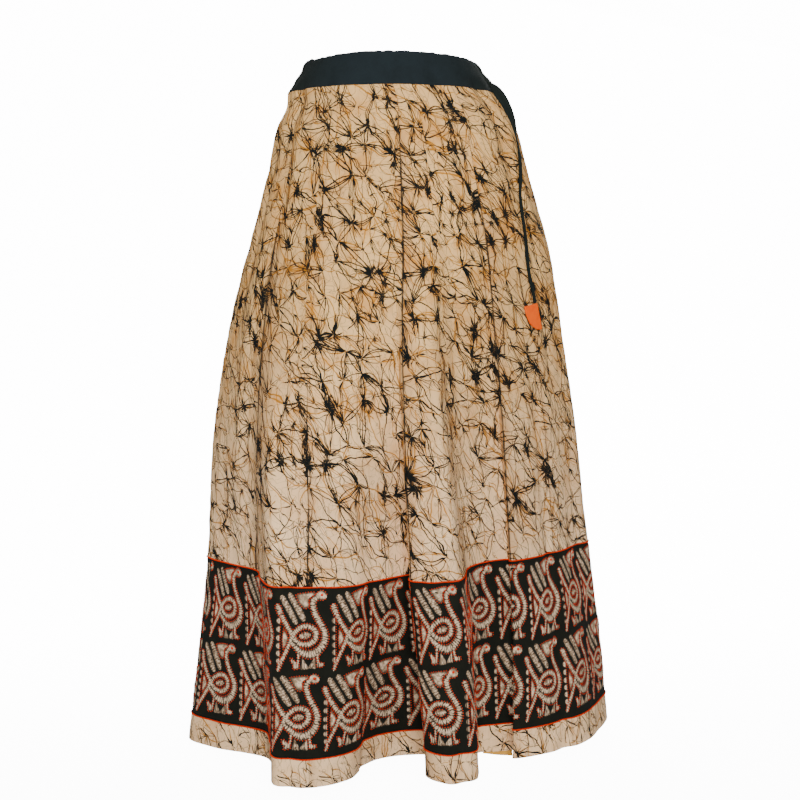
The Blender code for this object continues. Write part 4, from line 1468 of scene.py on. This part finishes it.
class SKIRT_OT_stitches(bpy.types.Operator):
    """Sew the red running stitches round the figures"""

    bl_idname = "skirt.stitches"
    bl_label = "Running stitches"

    def execute(self, context):
        sizes = context.scene.skirt_sizes
        material = thread_material(context.scene.skirt_colours)
        stitches = tile_stitches()
        for half, cloth in BORDER_CLOTHS.items():
            size = (sizes.stitch_long, sizes.stitch_wide, sizes.stitch_high)
            for name, sewing, size in (
                (f"running_stitches_{half}", stitches, size),
                (f"eye_knots_{half}", np.array([[*EYE, 1, 0]]), EYE_KNOT),
            ):
                rows = [sewing * [0.001, 0.001, 1, 1] + [*at, 0, 0] for at in tile_places(cloth)]
                ride_and_replace(
                    stitch_mesh(name, *self.placed(cloth, np.vstack(rows)), size, material),
                    "border_cloth",
                )
        return {"FINISHED"}

    def placed(self, cloth, rows):
        """Where the stitches sit that are clear of the side seams, and how they lie."""
        left, right = cloth.sides(STITCHES_INSET)
        u, v = hand_drawn(rows[:, 0], rows[:, 1])
        keep = (u > left) & (u < right)
        du, dv = rows[keep, 2:].T * STITCH_LOOKS_AHEAD
        return cloth.sewn_at(u[keep], v[keep], du, dv)


class SKIRT_OT_edging(bpy.types.Operator):
    """Sew the red edging at the top and bottom of the border"""

    bl_idname = "skirt.edging"
    bl_label = "Red edging"

    def execute(self, context):
        sizes = context.scene.skirt_sizes
        material = bpy.data.materials["red thread"]
        for half, cloth in BORDER_CLOTHS.items():
            u = np.arange(*cloth.sides(FIGURES_INSET), sizes.cord_pitch)
            for edge, drop in (
                ("top", BORDER_DROP + EDGING_INSIDE), ("bottom", HEM_STRIP_DROP - EDGING_INSIDE),
            ):
                v = np.full(len(u), drop)
                middles, along, out = cloth.sewn_at(u, v, EDGING_LOOKS_AHEAD, 0.0)
                along[:, 2] += EDGING_SLANT * np.linalg.norm(along, axis=1)
                name = f"red_edging_{edge}_{half}"
                ride_and_replace(
                    stitch_mesh(name, middles, along, out, EDGING_STITCH, material), "border_cloth"
                )
        return {"FINISHED"}


# ---- The waistband ----

# Its mesh, and the least share of its thickness at its top edge
BAND_ROWS = 15
FRONT_BAND_COLUMNS, BACK_BAND_COLUMNS = 150, 330
BAND_EDGE_LEAST = 0.35
# How uneven its top edge is, how far it stands up at the left side seam, and over how many degrees
BAND_UNEVEN = 0.0012
BAND_SEAM_LIFT, BAND_SEAM_LIFT_DEG = 0.0036, 8
# How high the waves of its front are
FRONT_BAND_WAVES = 0.0007
# How far the band lies over the cloth sewn to it, and from which share of its depth it follows it
BAND_OVER_CLOTH = 0.0005
FOLLOWS_CLOTH_FROM = 0.55
SEAM_RIPPLE = ripple(ring_at(0.0), 0.0)
# Where the gathered back bulges out beside its side seams, in shares of its depth from the top
Lump = namedtuple("Lump", "degrees down half_width half_height proud")
BAND_LUMPS = (
    Lump(88, 0.62, 9.0, 0.30, 0.0065),
    Lump(83, 0.14, 5.0, 0.16, 0.0034),
    Lump(99, 0.20, 6.0, 0.30, 0.0030),
    Lump(277, 0.10, 5.0, 0.14, 0.0032),
    Lump(272, 0.52, 6.0, 0.18, 0.0022),
    Lump(268, 0.86, 7.0, 0.16, 0.0026),
)


def band_curve(drop, degrees, moved):
    """The waistband's outer curve at a level."""
    turn = np.radians(degrees)
    curve = np.array([place(drop, math.sin(a), math.cos(a)) for a in turn])
    normal, _ = normals_of(curve, closed_ring=False)
    return curve + normal * moved[:, None]


def band_object(name, ends_deg, columns, thickness, pucker, material):
    """A stretch of the waistband as a closed shell with a rounded top edge."""
    degrees = np.linspace(*ends_deg, columns + 1)
    turns = np.radians(degrees)
    half_round = thickness / 2
    seam = FRONT_LINES[0].seam_deg
    from_seam = np.minimum((degrees - seam) % 360, (seam - degrees) % 360)
    uneven = [wave(math.sin(t) * 16, math.cos(t) * 16, 2.2) for t in turns]
    raised = BAND_SEAM_LIFT * bump_at(from_seam, 0.0, BAND_SEAM_LIFT_DEG)
    raised += BAND_UNEVEN * np.array(uneven)
    outer, inner, flats = [], [], []
    for drop in np.linspace(-BAND_DEPTH + SEAM_GAP / 2, -SEAM_GAP / 2, BAND_ROWS):
        curve = parted(band_curve(drop, degrees, pucker(degrees, drop)), -SEAM_LAP / 2)
        normal, mitre = normals_of(curve, closed_ring=False)
        near_top = min((drop + BAND_DEPTH) / half_round, 1.0)
        slim = max(math.sqrt(1 - (1 - near_top) ** 2), BAND_EDGE_LEAST)
        up = max(-drop, 0) / BAND_DEPTH
        z = SEAM_Z - drop - BAND_DIP * np.sin(turns) ** 2 * up + up**3 * raised
        centre = curve - normal * (mitre * half_round)[:, None]
        reach = normal * (mitre * half_round * slim)[:, None]
        outer.append(np.column_stack([centre + reach, z]))
        inner.append(np.column_stack([centre - reach, z]))
        along = run_of(curve)
        flats.append(np.column_stack([along - along[-1] / 2, np.full(len(along), drop)]))
    return shell(name, [np.array(outer), np.array(inner)], [np.array(flats)] * 2, [material])


def sewn_to_cloth(degrees, down, moved):
    """The band's moves, changing to those of the cloth that is sewn to its lower edge."""
    follows = smooth((down - FOLLOWS_CLOTH_FROM) / (1 - FOLLOWS_CLOTH_FROM))
    below = np.interp(degrees, SEAM_DEGREES, SEAM_RIPPLE) + BAND_OVER_CLOTH
    return moved * (1 - follows) + below * follows


def front_pucker(degrees, drop):
    """The front band is flat, with slight waves between its held edges."""
    down = (drop + BAND_DEPTH) / BAND_DEPTH
    waves = np.array([wave(d * 0.06, down * 1.5, 4.4) for d in degrees])
    return sewn_to_cloth(degrees, down, FRONT_BAND_WAVES * waves * math.sin(math.pi * down))


def back_pucker(degrees, drop):
    """Elastic puckers, uneven in width and depth, tight at the top and bottom edges."""
    share = (degrees - degrees[0]) / (degrees[-1] - degrees[0])
    turn = share * PUCKERS
    turn = turn + 0.22 * np.sin(turn * 1.7 + 0.6) + 0.13 * np.sin(turn * 3.1)
    deep = 0.75 + 0.25 * np.sin(turn * 0.9 + 1.3)
    held = np.minimum(1, np.minimum(share, 1 - share) * 40)
    moved = (1 - np.cos(2 * math.pi * turn)) * PUCKER_DEPTH / 2 * deep * held
    down = (drop + BAND_DEPTH) / BAND_DEPTH
    for lump in BAND_LUMPS:
        shape = bump_at(degrees, lump.degrees, lump.half_width)
        moved += lump.proud * shape * bump_at(down, lump.down, lump.half_height) * held
    return sewn_to_cloth(degrees, down, moved)


class SKIRT_OT_waistband(bpy.types.Operator):
    """Make the flat front and the elastic back of the waistband"""

    bl_idname = "skirt.waistband"
    bl_label = "Waistband"

    def execute(self, context):
        sizes = context.scene.skirt_sizes
        material = band_material(context.scene.skirt_colours)
        left, right = FRONT_LINES[0].seam_deg, FRONT_LINES[-1].seam_deg
        for half, ends_deg, columns, pucker, flat, held in (
            ("front", (left, right), FRONT_BAND_COLUMNS, front_pucker, (0.33, 0.044), "hung"),
            ("back", (right, left + 360), BACK_BAND_COLUMNS, back_pucker, (0.60, 0.044),
             "gathered"),
        ):
            name = f"waistband_{half}_cloth"
            obj = band_object(name, ends_deg, columns, sizes.band_thick, pucker, material)
            ride_and_replace(obj, "waistband_cloth", f"waistband_{half}")
        return {"FINISHED"}


# ---- The tie and its tab ----

# The folded tape's section: across in shares of its half width, out in shares of its thickness
TAPE_SECTION = (
    (1.0, 0.0), (0.94, 0.36), (0.6, 0.44), (0.12, 0.40), (0.0, 0.30), (-0.12, 0.40),
    (-0.6, 0.46), (-0.94, 0.36), (-1.0, 0.0), (-0.94, -0.36), (-0.5, -0.46), (0.0, -0.46),
    (0.5, -0.46), (0.94, -0.36),
)
# Its stations from each stop of its route to the next. On the flat cloth it lies this far beside
# the band's middle, so it takes the colour of the band's sides.
TAPE_STEPS = 8
TAPE_BESIDE_BAND = 0.3
TAPE_POINT_PITCH = 0.002
# The tab's rings from its back round its edge to its front: each one's size as a share of the
# outline and its height as a share of the thickness, and the heights of the two middle points
TAB_RINGS = (
    (0.35, -0.50), (0.70, -0.50), (0.93, -0.46), (0.98, -0.30), (1.00, 0.00), (0.98, 0.30),
    (0.93, 0.46), (0.86, 0.36), (0.70, 0.50), (0.35, 0.56),
)
TAB_MIDDLE_HEIGHTS = (-0.5, 0.56)
# How far the tape opens towards the cloth on its way down from the waistband, and between which
# distances from its exit it opens and narrows again
TAPE_OPENS_BY = 0.0036
TAPE_OPENS = (0.004, 0.018)
TAPE_NARROWS = (0.045, 0.075)


class SKIRT_OT_tie(bpy.types.Operator):
    """Make the tape that hangs from the waistband, with the tab on its end"""

    bl_idname = "skirt.tie"
    bl_label = "Tie and tab"

    def execute(self, context):
        route = [(s.side, -s.forward, s.z, s.width, s.facing_deg) for s in TIE_ROUTE]
        stations = spline(route, TAPE_STEPS)
        middle, width, facing = stations[:, :3], stations[:, 3], np.radians(stations[:, 4])
        out = np.stack([np.sin(facing), -np.cos(facing), np.zeros(len(facing))], axis=1)
        _, across, out = square_ways(np.gradient(middle, axis=0), out)
        run = run_of(middle)
        opens, narrows = (
            np.array([smooth((r - first) / (last - first)) for r in run])
            for first, last in (TAPE_OPENS, TAPE_NARROWS)
        )
        spread = opens * (1 - narrows) * TAPE_OPENS_BY
        middle = middle - across * spread[:, None] / 2
        width = width + spread
        sides = len(TAPE_SECTION)
        points, flats = [], []
        for k in range(len(stations)):
            for number, (a, o) in enumerate(TAPE_SECTION):
                points.append(middle[k] + across[k] * a * width[k] / 2 + out[k] * o * TAPE_THICK)
                flats.append((TAPE_BESIDE_BAND + number * TAPE_POINT_PITCH, run[k]))
        faces = grid_faces(len(stations), sides, wrap=True)
        faces.append(tuple(range(sides)))
        faces.append(tuple(range(len(points) - 1, len(points) - sides - 1, -1)))
        material = bpy.data.materials["dark band cloth"]
        tape = make_mesh("tie_tape", np.array(points), faces, [material], np.array(flats))
        ride_and_replace(tape, "waistband_cloth", "tie_cord")
        tab = self.tab()
        ride_and_replace(tab, "tab_cloth", "tie_tab")
        return {"FINISHED"}

    def tab(self):
        """The quarter-leaf tab, padded a little between its sewn edges."""
        end = TIE_ROUTE[-1]
        facing = math.radians(TAB_FACING_DEG)
        right = np.array([math.cos(facing), math.sin(facing), 0.0])
        out = np.array([math.sin(facing), -math.cos(facing), 0.0])
        down = np.array([0.0, 0.0, -1.0])
        corner = np.array([end.side, -end.forward, end.z]) + right * TAB_CORNER_PAST_TIE
        corner += out * TAB_CORNER_PROUD + down * TAB_CORNER_BELOW_TIE
        top, long = np.array(TAB_TOP_EDGE), np.array(TAB_LONG_EDGE)
        outline = [top * t for t in np.linspace(0, 1, 12, endpoint=False)]
        for turn in np.radians(np.linspace(0, 90, 25)):
            near, far = math.cos(turn) ** TAB_FULLNESS, math.sin(turn) ** TAB_FULLNESS
            outline.append(near * top + far * long)
        outline += [long * (1 - t) for t in np.linspace(0, 1, 14, endpoint=False)[1:]]
        outline = np.array(outline)
        centre = outline.mean(axis=0)
        rings = [centre + (outline - centre) * size for size, _ in TAB_RINGS]
        flats = np.vstack([*rings, centre, centre])
        heights = np.repeat([height for _, height in TAB_RINGS], len(outline))
        heights = np.append(heights, TAB_MIDDLE_HEIGHTS) * TAB_THICK
        points = corner + flats[:, :1] * right + flats[:, 1:] * down + heights[:, None] * out
        count = len(outline)
        faces = grid_faces(len(TAB_RINGS), count, wrap=True)
        back, front = len(points) - 2, len(points) - 1
        last = back - count
        faces += [((c + 1) % count, c, back) for c in range(count)]
        faces += [(last + c, last + (c + 1) % count, front) for c in range(count)]
        material = plain_material("orange tab cloth", srgb(250, 98, 0), srgb(238, 84, 0), 90.0)
        obj = make_mesh("tie_tab_cloth", points, faces, [material], flats)
        bm = bmesh.new()
        bm.from_mesh(obj.data)
        bmesh.ops.recalc_face_normals(bm, faces=bm.faces)
        bm.to_mesh(obj.data)
        bm.free()
        return obj


# ---- The stage ----

# The photo's own camera: its place, how far it looks down, and how many of the photo's pixels a
# metre takes at a distance of one metre
CAMERA_PLACE = (0.00475, -2.0, -0.2554)
CAMERA_LOOKS_DOWN_DEG = 5.04
CAMERA_PIXELS_AT_1_M = 1474.0
PHOTO_PIXELS = 800
# The floor: how far below the hem, where its front edge and its wall are, and how it bends up
FLOOR_BELOW = 0.012
FLOOR_FRONT_Y, WALL_Y = -3.0, 2.8
FLOOR_SIDE = 6.0
WALL_HEIGHT = 5.0
BEND = 1.2
FLOOR_GLOW = 14.0
WORLD_STRENGTH = 0.45
# The area lights: their names, sizes, energies and places, and where they all aim
LIGHTS = (
    ("key", 1.2, 112.0, (0.25, -2.9, 0.6)),
    ("fill", 2.2, 14.0, (-1.7, -2.2, 0.2)),
    ("back", 2.0, 90.0, (0.3, 2.6, 1.0)),
)
LIGHTS_AIM_AT = (0.0, 0.0, -0.45)


class SKIRT_OT_stage(bpy.types.Operator):
    """Set the floor, the light and the camera"""

    bl_idname = "skirt.stage"
    bl_label = "Stage"

    def execute(self, context):
        scene = context.scene
        camera = bpy.data.objects.new("camera", bpy.data.cameras.new("camera"))
        scene.collection.objects.link(camera)
        camera.location = CAMERA_PLACE
        camera.rotation_euler = (math.radians(90 - CAMERA_LOOKS_DOWN_DEG), 0, 0)
        camera.data.lens = CAMERA_PIXELS_AT_1_M / PHOTO_PIXELS * camera.data.sensor_width
        scene.camera = camera
        self.floor()
        for name, size, energy, where in LIGHTS:
            data = bpy.data.lights.new(name, "AREA")
            data.size, data.energy = size, energy
            light = bpy.data.objects.new(name, data)
            scene.collection.objects.link(light)
            light.location = where
            way = Vector(LIGHTS_AIM_AT) - Vector(where)
            light.rotation_euler = way.to_track_quat("-Z", "Y").to_euler()
        scene.world = bpy.data.worlds.new("studio")
        scene.world.use_nodes = True
        background = scene.world.node_tree.nodes["Background"]
        background.inputs["Color"].default_value = (1, 1, 1, 1)
        background.inputs["Strength"].default_value = WORLD_STRENGTH
        return {"FINISHED"}

    def floor(self):
        """A white floor that curves up into a wall, and lights nothing but the picture."""
        turns = np.radians(np.linspace(0, 90, 13))
        bend = [(WALL_Y - BEND * (1 - math.sin(t)), BEND * (1 - math.cos(t))) for t in turns]
        profile = [(FLOOR_FRONT_Y, 0.0), *bend, (WALL_Y, WALL_HEIGHT)]
        floor_z = CAD_BOX[0][2] - FLOOR_BELOW
        points = [(x, y, floor_z + up) for y, up in profile for x in (-FLOOR_SIDE, FLOOR_SIDE)]
        faces = [(k, k + 1, k + 3, k + 2) for k in range(0, len(points) - 2, 2)]
        finish = Finish("pale floor")
        material = finish.dress(srgb(250, 250, 250), 0.9)
        _, y, _ = finish.parts(finish.own_place())
        glow = finish.step(y, -0.6, 0.8) * 0.20 + 0.80
        white = finish.mix(glow, (0, 0, 0, 1), (1, 1, 1, 1))
        finish.feed(finish.shader.inputs["Emission Color"], white)
        finish.shader.inputs["Emission Strength"].default_value = FLOOR_GLOW
        floor = make_mesh("floor", np.array(points), faces, [material])
        floor.visible_diffuse = floor.visible_glossy = False
        return floor


class SKIRT_PT_pieces(bpy.types.Panel):
    """The skirt's pieces"""

    bl_idname = "SKIRT_PT_pieces"
    bl_label = "Batik skirt"
    bl_space_type = "VIEW_3D"
    bl_region_type = "UI"
    bl_category = "Skirt"

    def draw(self, context):
        for group in (context.scene.skirt_sizes, context.scene.skirt_colours):
            for key in group.__annotations__:
                self.layout.prop(group, key)
        for operator in OPERATORS:
            self.layout.operator(operator.bl_idname)


OPERATORS = (
    SKIRT_OT_stage,
    SKIRT_OT_waistband,
    SKIRT_OT_tie,
    SKIRT_OT_panels,
    SKIRT_OT_border,
    SKIRT_OT_figures,
    SKIRT_OT_stitches,
    SKIRT_OT_edging,
    SKIRT_OT_hem,
    SKIRT_OT_facing,
)
CLASSES = (SkirtSizes, SkirtColours, *OPERATORS, SKIRT_PT_pieces)


def register():
    for cls in CLASSES:
        bpy.utils.register_class(cls)
    bpy.types.Scene.skirt_sizes = bpy.props.PointerProperty(type=SkirtSizes)
    bpy.types.Scene.skirt_colours = bpy.props.PointerProperty(type=SkirtColours)


def unregister():
    del bpy.types.Scene.skirt_colours
    del bpy.types.Scene.skirt_sizes
    for cls in reversed(CLASSES):
        bpy.utils.unregister_class(cls)


def main():
    register()
    bpy.ops.skirt.stage()
    bpy.ops.skirt.waistband()
    bpy.ops.skirt.tie()
    bpy.ops.skirt.panels()
    bpy.ops.skirt.border()
    bpy.ops.skirt.figures()
    bpy.ops.skirt.stitches()
    bpy.ops.skirt.edging()
    bpy.ops.skirt.hem()
    bpy.ops.skirt.facing()
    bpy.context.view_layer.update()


if __name__ == "__main__":
    main()
